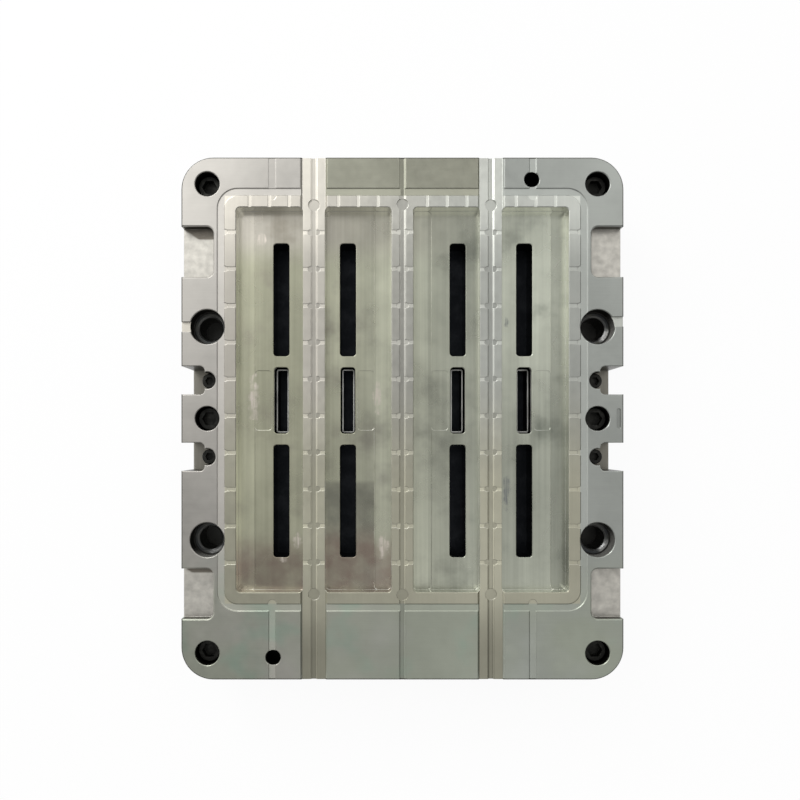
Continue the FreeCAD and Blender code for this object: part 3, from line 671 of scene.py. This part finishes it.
def plate_colours(tree, x, y, point, at):
    """The colour of the surfaces that face up."""
    face = face_colour(tree, x, y, point, at)
    floors = pocket_colour(tree, x, y, point, at)
    colour = add(tree, "Mix", {0: at["pocket"], 6: face, 7: floors}, **COLOURS)
    return add(tree, "Mix", {0: at["pry"], 6: colour, 7: pry_colour(tree, x, y, at)}, **COLOURS)


print("dirt in", len(SHADOWED_PRY_SLOTS), "pry slots")

# %% [markdown]
# ## The cavity plate, step 9: walls of holes, notches and pockets
# The pocket walls were stoned like their floors and mirror them. The walls of holes and
# notches are painted dark, and slots and screw holes are painted black further down:
# painted shade. In each bush recess the side that faces the window is painted light and
# the rest dark: painted light and shade.

# %% Walls
POCKET_WALL = "#f2f2ea"
RECESS_PAINTED_LIGHT = "#9a9994"
RECESS_PAINTED_SHADE = "#2c2b28"
WALL_PAINTED_SHADE = "#45443e"
DEEP_PAINTED_SHADE = "#0d0e0e"
INSIDE_HOLE = {1: 0.35, 2: 0.05}
BELOW_RIM = {1: 0.9, 2: 1.3}
RECESS_LEDGE = {1: 12.0, 2: 13.0}
SLOT_DARKENS = {1: pocket_depth + 1.0, 2: pocket_depth + 3.0}
HOLE_DARKENS = {1: 3.0, 2: 16.0}
TOWARDS_WINDOW = (-0.6, 0.8, 0.0)


def wall_regions(tree, x, y, at):
    """More masks, for the insides of holes, recesses, notches, slots and pockets."""
    depth = at["depth"]
    hole_gap, bush_gap = gap_to_hole(tree, x, y)
    hole = add(tree, "MapRange", {0: hole_gap, **INSIDE_HOLE})
    recess = add(tree, "MapRange", {0: bush_gap, **INSIDE_HOLE})
    off_edge = add(tree, "Math", {0: 1.0, 1: at["edge_strip"]}, **LESS)
    notched = add(tree, "Math", {0: at["outside"], 1: off_edge}, **TIMES)
    inner = add(tree, "Math", {0: hole, 1: notched}, **LARGER)
    # Walls of holes and notches below the rim get painted shade.
    below_rim = add(tree, "MapRange", {0: depth, **BELOW_RIM})
    shaded_wall = add(tree, "Math", {0: at["upright"], 1: below_rim}, **TIMES)
    shaded_wall = add(tree, "Math", {0: shaded_wall, 1: add(tree, "MapRange", {0: depth, **RECESS_LEDGE})}, **LARGER)
    # Deep in slots and screw holes the walls get painted shade.
    in_slot = add(tree, "MapRange", {0: depth, **SLOT_DARKENS})
    in_slot = add(tree, "Math", {0: in_slot, 1: at["field"]}, **TIMES)
    plain_hole = add(tree, "Math", {0: hole, 1: recess}, **LESS)
    down_hole = add(tree, "MapRange", {0: depth, **HOLE_DARKENS}, **SMOOTH)
    down_hole = add(tree, "Math", {0: down_hole, 1: plain_hole}, **TIMES)
    return {
        "hole": hole,
        "recess": recess,
        "shaded_wall": add(tree, "Math", {0: inner, 1: shaded_wall}, **TIMES),
        "deep": add(tree, "Math", {0: in_slot, 1: down_hole}, **LARGER),
        "wall": add(tree, "Math", {0: at["field"], 1: at["upright"]}, **TIMES),
    }


def wall_colours(tree, colour, at):
    """Lays the colours of the walls, with their painted light and shade, over the colours of the faces."""
    # Recess walls that face the window are painted light, the others painted dark: painted light and shade.
    normal = add(tree, "NewGeometry", out="True Normal")
    faces = add(tree, "VectorMath", {0: normal, 1: TOWARDS_WINDOW}, **LIKENESS)
    facing_window = add(tree, "MapRange", {0: faces, 1: -0.2, 2: 0.7}, **SMOOTH)
    facing_window = add(tree, "Math", {0: at["recess"], 1: facing_window}, **TIMES)
    oil_and_painted_light = layered(tree, linear(WALL_PAINTED_SHADE), (at["recess"], RECESS_PAINTED_SHADE), (facing_window, RECESS_PAINTED_LIGHT))
    # Painted shade on the walls of holes and notches.
    colour = add(tree, "Mix", {0: at["shaded_wall"], 6: colour, 7: oil_and_painted_light}, **COLOURS)
    # Painted shade: near-black walls deep in slots and holes.
    return layered(tree, colour, (at["wall"], POCKET_WALL), (at["deep"], DEEP_PAINTED_SHADE))


print("slots are black from", round(SLOT_DARKENS[2], 1), "mm down")

# %% [markdown]
# ## The cavity plate, step 10: marks, roughness and relief
# Grinding lines run across the plate. They are about 0.3 mm apart and drawn at 1 mm to
# show. Cutter passes on the lands run the other way. A painted dark line, painted shade,
# lies in the chamfer round the plate. Edges deep in a hole stay sharp.

# %% Tool steel
CHAMFER_PAINTED_SHADE = "#4f4e49"
GRINDING_LINE = (60.0, 1.0)
CUTTER_PASS = (3.0, 120.0)
MOTTLE = 9.0
TONE_CLOUD = 60.0
FINE_SWING, PRY_SWING = 0.22, 0.90
EDGE_RADIUS, SUNK_EDGE_RADIUS = 0.7, 0.02
SUNK = {1: 1.5, 2: 2.5}
CHAMFER = {1: 2.0, 2: 1.4}
ROUGHNESS = {"wall": 0.12, "cut": 0.50, "pry": 0.55, "recess": 0.70}


def tone_of_marks(tree, marks, mottle, clouds, at):
    """Fine changes of tone around 1, strongest in the pry slots."""
    share = add(tree, "MapRange", {0: at["pry"], 3: 0.5, 4: 1.0})
    tone = add(tree, "Mix", {0: share, 2: marks, 3: mottle}, **NUMBERS)
    tone = add(tree, "Math", {0: tone, 1: 0.5}, **LESS)
    swing = add(tree, "MapRange", {0: at["pry"], 3: FINE_SWING, 4: PRY_SWING})
    tone = add(tree, "Math", {0: tone, 1: swing}, **TIMES)
    broad = add(tree, "MapRange", {0: clouds, **NOISE_SPAN, 3: 0.94, 4: 1.06}, **SMOOTH)
    return add(tree, "Math", {0: tone, 1: broad}, **PLUS)


def tool_roughness(tree, mottle, clouds, at):
    """Cloudy on the faces, smoother on the pocket floors, and one value elsewhere."""
    face = add(tree, "MapRange", {0: mottle, 1: 0.25, 2: 0.75, 3: 0.30, 4: 0.40})
    stoned = add(tree, "MapRange", {0: clouds, **NOISE_SPAN, 3: 0.24, 4: 0.34})
    roughness = add(tree, "Mix", {0: at["pocket"], 2: face, 3: stoned}, **NUMBERS)
    for region, value in ROUGHNESS.items():
        roughness = add(tree, "Mix", {0: at[region], 2: roughness, 3: value}, **NUMBERS)
    return roughness


def tool_steel(tree, point, x, y, z):
    """Every finish of the cavity plate's face, floors and walls."""
    at = plate_regions(tree, x, y, z)
    at.update(wall_regions(tree, x, y, at))
    colour = wall_colours(tree, plate_colours(tree, x, y, point, at), at)

    grinding = streaks(tree, point, *GRINDING_LINE)
    passes = streaks(tree, point, *CUTTER_PASS)
    marks = add(tree, "Mix", {0: at["land"], 2: grinding, 3: passes}, **NUMBERS)
    mottle = blotches(tree, point, MOTTLE, 5.0, 90.0)
    clouds = blotches(tree, point, TONE_CLOUD, 3.0, 500.0)
    tone = tone_of_marks(tree, marks, mottle, clouds, at)
    shaded = add(tree, "VectorMath", {0: colour, "Scale": tone}, **SCALED)

    chamfer = add(tree, "MapRange", {0: at["depth"], **CHAMFER})
    chamfer = add(tree, "Math", {0: at["edge_strip"], 1: chamfer}, **TIMES)
    sunk = add(tree, "MapRange", {0: at["depth"], **SUNK})
    sunk = add(tree, "Math", {0: at["hole"], 1: sunk}, **TIMES)
    radius = add(tree, "MapRange", {0: sunk, 3: EDGE_RADIUS / MM, 4: SUNK_EDGE_RADIUS / MM})
    edge, rounded = worn_edges(tree, point, radius)
    # No polished edge where painted shade lies: deep in holes and slots, and on the chamfer's dark line.
    oil_and_painted_light = add(tree, "Math", {0: at["deep"], 1: chamfer}, **LARGER)
    edge = add(tree, "Math", {0: edge, 1: add(tree, "Math", {0: 1.0, 1: oil_and_painted_light}, **LESS)}, **TIMES)
    # The chamfer round the plate gets a painted dark line: painted shade.
    finished = layered(tree, shaded, (edge, POLISHED_EDGE), (chamfer, CHAMFER_PAINTED_SHADE))

    relief = add(tree, "Bump", {"Strength": 0.14, "Distance": 0.04 / MM, "Height": marks, "Normal": rounded})
    relief = add(tree, "Bump", {"Strength": 0.08, "Distance": 0.10 / MM, "Height": mottle, "Normal": relief})
    return finished, tool_roughness(tree, mottle, clouds, at), relief


dress("tool_steel_ground_and_milled", tool_steel, "cavity_plate")

# %% [markdown]
# ## The backing plate: ground mild steel
# The backing plate only has to be flat and stiff, so it is plain mild steel, ground on
# both faces. Where it shows in the notches it is brown with old oil. At the bottom of
# each guide bore it is painted black: painted shade.

# %% Mild steel
MILD_STEEL = "#a8a8a2"
MILD_STEEL_STAIN = "#86857c"
LEDGE_OIL = "#86837a"
UNDER_BORE_PAINTED_SHADE = "#3b3b39"
BACKING_LINE = (1.6, 60.0)
BACKING_EDGE_RADIUS = 0.8


def mild_steel(tree, point, x, y, z):
    """Mild steel, with old oil on the face under the cavity plate and painted shade under the guide bores.
    """
    grinding = streaks(tree, point, *BACKING_LINE)
    mottle = blotches(tree, point, 8.0, 5.0, 700.0)
    stained = add(tree, "MapRange", {0: blotches(tree, point, 55.0, 4.0, 30.0), 1: 0.46, 2: 0.72}, **SMOOTH)
    on_top = add(tree, "MapRange", {0: z, 1: ledge_z - 0.2, 2: ledge_z - 0.1})
    under_bore = add(tree, "MapRange", {0: from_bush_axis(tree, x, y), 1: bush_recess_r, 2: bush_bore_r})
    # The face at the bottom of each guide bore is painted black: painted shade.
    bore_bottom_shade = add(tree, "Math", {0: under_bore, 1: on_top}, **TIMES)
    layers = ((stained, MILD_STEEL_STAIN), (on_top, LEDGE_OIL), (bore_bottom_shade, UNDER_BORE_PAINTED_SHADE))
    colour = layered(tree, linear(MILD_STEEL), *layers)
    tone = add(tree, "Mix", {0: 0.5, 2: grinding, 3: mottle}, **NUMBERS)
    tone = add(tree, "MapRange", {0: tone, **NOISE_SPAN, 3: 0.84, 4: 1.12})
    shaded = add(tree, "VectorMath", {0: colour, "Scale": tone}, **SCALED)
    edge, rounded = worn_edges(tree, point, BACKING_EDGE_RADIUS / MM)
    roughness = add(tree, "MapRange", {0: mottle, 1: 0.25, 2: 0.75, 3: 0.40, 4: 0.54})
    relief = {"Strength": 0.35, "Distance": 0.06 / MM, "Height": grinding, "Normal": rounded}
    return layered(tree, shaded, (edge, POLISHED_EDGE)), roughness, add(tree, "Bump", relief)


dress("mild_steel_ground", mild_steel, "backing_plate")

# %% [markdown]
# ## The guide bushes: hardened bearing steel with a honed bore
# Each bush guides a pin of the other half. Its outside and its end are dark from heat
# treatment, and the outer rim of the end, in the corner of the recess, is painted darker
# still: painted shade. Only the bore and its lead-in were honed, and the bore is painted
# darker further down: painted shade. At three mouths one side of the lead-in is painted
# bright: a painted highlight, the window's reflection.

# %% Painted highlights at the mouths
# Where the window's painted highlight lies at three mouths: x, y and strength.
HIGHLIGHT_SPOTS = (
    (column_x + 12.4, upper_bush_y - 7.5, 1.0),
    (column_x + 12.0, lower_bush_y - 9.0, 0.6),
    (5.5 - column_x, lower_bush_y - 13.0, 0.4),
)
HIGHLIGHT_REACH = {1: 10.0, 2: 4.0}
HIGHLIGHT_BAND = ((bush_bore_r - 1.0, bush_bore_r, bush_bore_r + 3.5, bush_bore_r + 4.5),)
BRIGHT_MOUTH = 7.0
MOUTH_DEPTH = {1: bush_high.z - BRIGHT_MOUTH, 2: bush_high.z - 2.0}


def painted_mouth_highlights(tree, x, y, z, point, from_axis):
    """1 where the lead-in of a bush gets a painted highlight of the window."""
    plan = add(tree, "CombineXYZ", {0: x, 1: y})
    painted_highlight_and_wear = 0.0
    for spot_x, spot_y, strength in HIGHLIGHT_SPOTS:
        reach = add(tree, "VectorMath", {0: plan, 1: (spot_x, spot_y, 0)}, **DISTANCE)
        spot = add(tree, "MapRange", {0: reach, **HIGHLIGHT_REACH, 4: strength}, **SMOOTH)
        painted_highlight_and_wear = add(tree, "Math", {0: painted_highlight_and_wear, 1: spot}, **LARGER)
    wear_and_highlight_patches = blotches(tree, point, 2.5, 3.0, 610.0)
    masks = (
        between(tree, from_axis, HIGHLIGHT_BAND),
        add(tree, "MapRange", {0: z, **MOUTH_DEPTH}),
        add(tree, "MapRange", {0: wear_and_highlight_patches, 1: 0.35, 2: 0.6, 3: 0.45}, **SMOOTH),
    )
    for mask in masks:
        painted_highlight_and_wear = add(tree, "Math", {0: painted_highlight_and_wear, 1: mask}, **TIMES)
    return painted_highlight_and_wear


print(len(HIGHLIGHT_SPOTS), "of the four mouths are rubbed")

# %% Bearing steel
HARDENED = "#575752"
HARDENED_BLUE = "#46484a"
HONED = "#7c7d7c"
BORE_PAINTED_SHADE = "#5a5a56"
BUSH_RIM_PAINTED_SHADE = "#20201f"
PAINTED_MOUTH_HIGHLIGHT = "#e6e6e4"
HIGHLIGHT_ROUGHNESS = 0.45
HONE_RING = 1.1
HONED_LEAD_IN = {1: bush_bore_r + 1.8, 2: bush_bore_r + 1.5}
OUTER_RIM = {1: bush_recess_r - 2.2, 2: bush_recess_r - 1.4}
DOWN_THE_BORE = {1: bush_high.z - 1.5, 2: bush_high.z - BRIGHT_MOUTH}


def bearing_steel(tree, point, x, y, z):
    """Dark outside, honed inside, with painted shade at the rim and down the bore and a painted highlight at
    the mouth.
    """
    from_axis = from_bush_axis(tree, x, y)
    bore = add(tree, "MapRange", {0: from_axis, **HONED_LEAD_IN})
    heat = blotches(tree, point, 14.0, 3.0, 55.0)
    tempered = add(tree, "MapRange", {0: heat, 1: 0.35, 2: 0.65}, **SMOOTH)
    skin = layered(tree, linear(HARDENED), (tempered, HARDENED_BLUE))
    down = add(tree, "MapRange", {0: z, **DOWN_THE_BORE}, **SMOOTH)
    # Further down, the bore is painted darker: painted shade.
    honed = layered(tree, linear(HONED), (down, BORE_PAINTED_SHADE))
    colour = add(tree, "Mix", {0: bore, 6: skin, 7: honed}, **COLOURS)
    rim = add(tree, "MapRange", {0: from_axis, **OUTER_RIM})
    # Three mouths get a painted highlight where the window reflects in the lead-in.
    painted_highlight_and_wear = painted_mouth_highlights(tree, x, y, z, point, from_axis)
    # The outer rim of the end gets painted shade, in the corner of the recess.
    colour = layered(tree, colour, (rim, BUSH_RIM_PAINTED_SHADE), (painted_highlight_and_wear, PAINTED_MOUTH_HIGHLIGHT))
    along_axis = add(tree, "CombineXYZ", {2: z})
    ring = {"Vector": along_axis, "Scale": 1 / HONE_RING, "Detail": 2.0}
    ring = add(tree, "TexNoise", ring, out="Fac")
    tone = add(tree, "MapRange", {0: ring, **NOISE_SPAN, 3: 0.82, 4: 1.12})
    shaded = add(tree, "VectorMath", {0: colour, "Scale": tone}, **SCALED)
    skin_rough = add(tree, "MapRange", {0: heat, **NOISE_SPAN, 3: 0.52, 4: 0.66})
    bore_rough = add(tree, "MapRange", {0: ring, **NOISE_SPAN, 3: 0.22, 4: 0.38})
    roughness = add(tree, "Mix", {0: bore, 2: skin_rough, 3: bore_rough}, **NUMBERS)
    roughness = add(tree, "Mix", {0: painted_highlight_and_wear, 2: roughness, 3: HIGHLIGHT_ROUGHNESS}, **NUMBERS)
    relief = add(tree, "Bump", {"Strength": 0.25, "Distance": 0.03 / MM, "Height": ring})
    return shaded, roughness, relief


dress("bearing_steel_hardened_honed_bore", bearing_steel, *bushes)

# %% [markdown]
# ## The slot inserts: nitrided steel
# Nitriding hardens a thin skin and leaves it blue-black and slightly grainy. Its colour
# is kept near-black so that it also stands in for the shade at the bottom of each deep
# slot: painted shade. The other half's core blades rub the rims of the four core seats
# bright, so a thin light line shows inside each middle slot.

# %% Nitrided steel
NITRIDED_AND_SLOT_SHADE = "#1f2124"
NITRIDED_GREY = "#2b2d30"
RUBBED_RIM = "#c9c9c4"
RIM_BAND = 0.15

seat_rim_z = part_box("core_seat_a")[1].z * MM


def nitrided_steel(tree, point, x, y, z):
    """Near-black, which also stands in for the shade in the slots, with the rims of the core seats worn
    bright.
    """
    grain = blotches(tree, point, 1.5, 3.0, 12.0)
    stain = blotches(tree, point, 20.0, 3.0, 320.0)
    grey = add(tree, "MapRange", {0: stain, 1: 0.40, 2: 0.70}, **SMOOTH)
    rim = add(tree, "MapRange", {0: z, 1: seat_rim_z - 2 * RIM_BAND, 2: seat_rim_z - RIM_BAND})
    uneven = add(tree, "MapRange", {0: stain, 1: 0.3, 2: 0.6, 3: 0.6})
    painted_highlight_and_wear = add(tree, "Math", {0: rim, 1: uneven}, **TIMES)
    # The near-black is also painted shade at the bottom of the slots.
    colour = layered(tree, linear(NITRIDED_AND_SLOT_SHADE), (grey, NITRIDED_GREY), (painted_highlight_and_wear, RUBBED_RIM))
    rough = add(tree, "MapRange", {0: grain, **NOISE_SPAN, 3: 0.42, 4: 0.58})
    roughness = add(tree, "Mix", {0: rim, 2: rough, 3: 0.5}, **NUMBERS)
    relief = add(tree, "Bump", {"Strength": 0.30, "Distance": 0.03 / MM, "Height": grain})
    return colour, roughness, relief


dress("nitrided_steel_near_black_painted_shade", nitrided_steel, *inserts)

# %% [markdown]
# ## The cap screws: black oxide on alloy steel
# Socket head screws are blackened in a hot salt bath. The black is thin and wears off
# the head's rim first. Deep in the counterbores, oil keeps it dark.

# %% Black oxide steel
BLACK_OXIDE = "#2c2c2a"
BLACK_OXIDE_WORN = "#3a3a37"
BARE_STEEL = "#454542"
GRIT = 1.2
HEAD_EDGE_RADIUS = 0.4


def black_oxide_steel(tree, point, x, y, z):
    """Black, with grey edges."""
    painted_highlight_and_wear = blotches(tree, point, 6.0, 4.0, 75.0)
    grit = blotches(tree, point, GRIT, 2.0)
    wear_and_highlight_patches = add(tree, "MapRange", {0: painted_highlight_and_wear, 1: 0.45, 2: 0.75}, **SMOOTH)
    edge, rounded = worn_edges(tree, point, HEAD_EDGE_RADIUS / MM)
    colour = layered(tree, linear(BLACK_OXIDE), (wear_and_highlight_patches, BLACK_OXIDE_WORN), (edge, BARE_STEEL))
    roughness = add(tree, "MapRange", {0: painted_highlight_and_wear, **NOISE_SPAN, 3: 0.62, 4: 0.46})
    relief = add(tree, "Bump", {"Strength": 0.35, "Distance": 0.04 / MM, "Height": grit, "Normal": rounded})
    return colour, roughness, relief


dress("alloy_steel_black_oxide", black_oxide_steel, "plate_screws", "side_screws")

# %% [markdown]
# ## The dowel pins: centreless ground steel
# Dowels are ground between two wheels, which leaves a bright skin with rings too fine
# to see. They are hidden between the plates, but still get their finish.

# %% Ground dowel steel
GROUND_PIN = "#c2c3c3"
OIL_SPOT = 8.0


def dowel_steel(tree, point, x, y, z):
    """Bright, with a thin film of oil."""
    ring = streaks(tree, point, 12.0, 12.0)
    film = blotches(tree, point, OIL_SPOT)
    tone = add(tree, "MapRange", {0: ring, **NOISE_SPAN, 3: 0.88, 4: 1.08})
    shaded = add(tree, "VectorMath", {0: linear(GROUND_PIN)[:3], "Scale": tone}, **SCALED)
    roughness = add(tree, "MapRange", {0: film, **NOISE_SPAN, 3: 0.16, 4: 0.28})
    relief = add(tree, "Bump", {"Strength": 0.2, "Distance": 0.01 / MM, "Height": film})
    return shaded, roughness, relief


dress("dowel_steel_centreless_ground", dowel_steel, "dowel_pins")

# %% [markdown]
# ## Floor
# The mould half lies on a wide floor of white paint. What the camera and shiny steel
# see of it is mostly its own white, so it stays white where the light is weak and
# still keeps a faint shadow of the plate.

# %% Pale floor
FLOOR_WHITE = "#f6f6f6"
FLOOR_SIZE = 12.0
FLOOR_GLOW_SHARE = 0.93

bpy.ops.mesh.primitive_plane_add(size=FLOOR_SIZE, location=(0, 0, 0))
floor = bpy.context.active_object
floor.name = "floor"
material, tree, output = new_material("floor_white_paint")
paint = add(tree, "BsdfDiffuse", {"Color": linear(FLOOR_WHITE)})
glow = add(tree, "Emission", {"Color": (1, 1, 1, 1), "Strength": 1.0})
rays = add(tree, "LightPath").node.outputs
seen = add(tree, "Math", {0: rays["Is Camera Ray"], 1: rays["Is Glossy Ray"]}, **LARGER)
seen = add(tree, "Math", {0: seen, 1: rays["Is Transmission Ray"]}, **LARGER)
share = add(tree, "Math", {0: seen, 1: FLOOR_GLOW_SHARE}, **TIMES)
tree.links.new(add(tree, "MixShader", {0: share, 1: paint, 2: glow}), output.inputs["Surface"])
floor.data.materials.append(material)
print("floor:", FLOOR_SIZE, "m square")

# %% [markdown]
# ## The room
# Flat steel is a dull mirror, so the ceiling is what paints it. It is grey, with a large
# bright panel over the upper left, a weaker one over the upper right and a faint one
# in front. Each has its aim in plan, how much narrower it is than long, where it starts
# and is full, and how much it adds. The walls are bright towards the upper left and
# dark on the other side, which draws light and dark lines on the edges. The camera
# sees plain white behind the floor. Shiny steel keeps its view of the walls, because
# those lines come from them.

# %% Ceiling and walls
CEILING_LEFT, CEILING_RIGHT = 0.44, 0.54
PANELS = (
    ("left", (-0.42, 0.50, 0.0), 1.35, 0.70, 0.05, 1.90),
    ("right", (0.50, 0.50, 0.0), 1.35, 0.55, 0.05, 1.65),
    ("front", (0.18, -0.30, 0.0), 0.80, 0.40, 0.05, 0.50),
)
WALL_DIM, WALL_BRIGHT = 0.22, 1.3
UPPER_LEFT = (-0.64, 0.77, 0.0)
IN_PLAN = (1.0, 1.0, 0.0)
ACROSS_CEILING = {1: -0.35, 2: 0.35}
ROUND_WALLS = {1: -0.5, 2: 0.8}
WALL_TO_CEILING = {1: 0.35, 2: 0.75}

world = bpy.data.worlds.new("studio")
bpy.context.scene.world = world
world.use_nodes = True
tree = world.node_tree
tree.nodes.clear()
direction = add(tree, "TexCoord", out="Generated")
across, _, height = add(tree, "SeparateXYZ", {0: direction}).node.outputs
in_plan = add(tree, "VectorMath", {0: direction, 1: IN_PLAN}, **TIMES)
ceiling = add(tree, "MapRange", {0: across, **ACROSS_CEILING, 3: CEILING_LEFT, 4: CEILING_RIGHT})
for name, aim, narrow, start, full, added in PANELS:
    off_aim = add(tree, "VectorMath", {0: in_plan, 1: aim}, **LESS)
    off_aim = add(tree, "VectorMath", {0: off_aim, 1: (narrow, 1.0, 0.0)}, **TIMES)
    reach = add(tree, "VectorMath", {0: off_aim}, **LENGTH)
    panel = add(tree, "MapRange", {0: reach, 1: start, 2: full, 4: added}, **SMOOTH)
    ceiling = add(tree, "Math", {0: ceiling, 1: panel}, **PLUS)
    print(name, "panel adds", added)
towards_light = add(tree, "VectorMath", {0: direction, 1: UPPER_LEFT}, **LIKENESS)
wall = add(tree, "MapRange", {0: towards_light, **ROUND_WALLS, 3: WALL_DIM, 4: WALL_BRIGHT}, **SMOOTH)
above = add(tree, "MapRange", {0: height, **WALL_TO_CEILING}, **SMOOTH)
level = add(tree, "Mix", {0: above, 2: wall, 3: ceiling}, **NUMBERS)
level = add(tree, "Mix", {0: add(tree, "LightPath", out="Is Camera Ray"), 2: level, 3: 1.0}, **NUMBERS)
sky = add(tree, "Background", {"Color": (1, 1, 1, 1), "Strength": level})
tree.links.new(sky, tree.nodes.new("ShaderNodeOutputWorld").inputs["Surface"])
print("walls from", WALL_DIM, "to", WALL_BRIGHT)

# %% [markdown]
# ## The window
# One soft window at the upper left, a third of the way up the sky, gives holes, slots
# and notches their shadows and lights the far walls of the bushes.

# %% Window
WINDOW_AT = Vector((-1.05, 1.38, 1.15))
WINDOW_AIM = Vector((0.0, 0.0, 0.08))
WINDOW_SIDE = 0.60
WINDOW_RADIANCE = 9.5

lamp = bpy.data.lights.new("window", "AREA")
lamp.shape = "RECTANGLE"
lamp.size = lamp.size_y = WINDOW_SIDE
lamp.energy = math.pi * WINDOW_SIDE * WINDOW_SIDE * WINDOW_RADIANCE
window = bpy.data.objects.new("window", lamp)
bpy.context.scene.collection.objects.link(window)
window.location = WINDOW_AT
window.rotation_euler = (WINDOW_AIM - WINDOW_AT).to_track_quat("-Z", "Y").to_euler()
window.visible_camera = False
print("window radiance", WINDOW_RADIANCE)

# %% [markdown]
# ## Camera
# The camera looks straight down at the parting face from 0.7 m above it, near enough
# to see a little way into the holes. A small lens shift frames the plate.

# %% Camera
camera = bpy.data.cameras.new("camera")
camera.lens = 29.66
camera.sensor_width = 36.0
camera.shift_x = 0.02375
camera.shift_y = 0.05
camera.clip_start = 0.01
viewpoint = bpy.data.objects.new("camera", camera)
bpy.context.scene.collection.objects.link(viewpoint)
viewpoint.location = (-0.0228, -0.0228, 0.782)
bpy.context.scene.camera = viewpoint
bpy.context.scene.view_settings.view_transform = "Standard"
print("camera", [round(c, 3) for c in viewpoint.location])
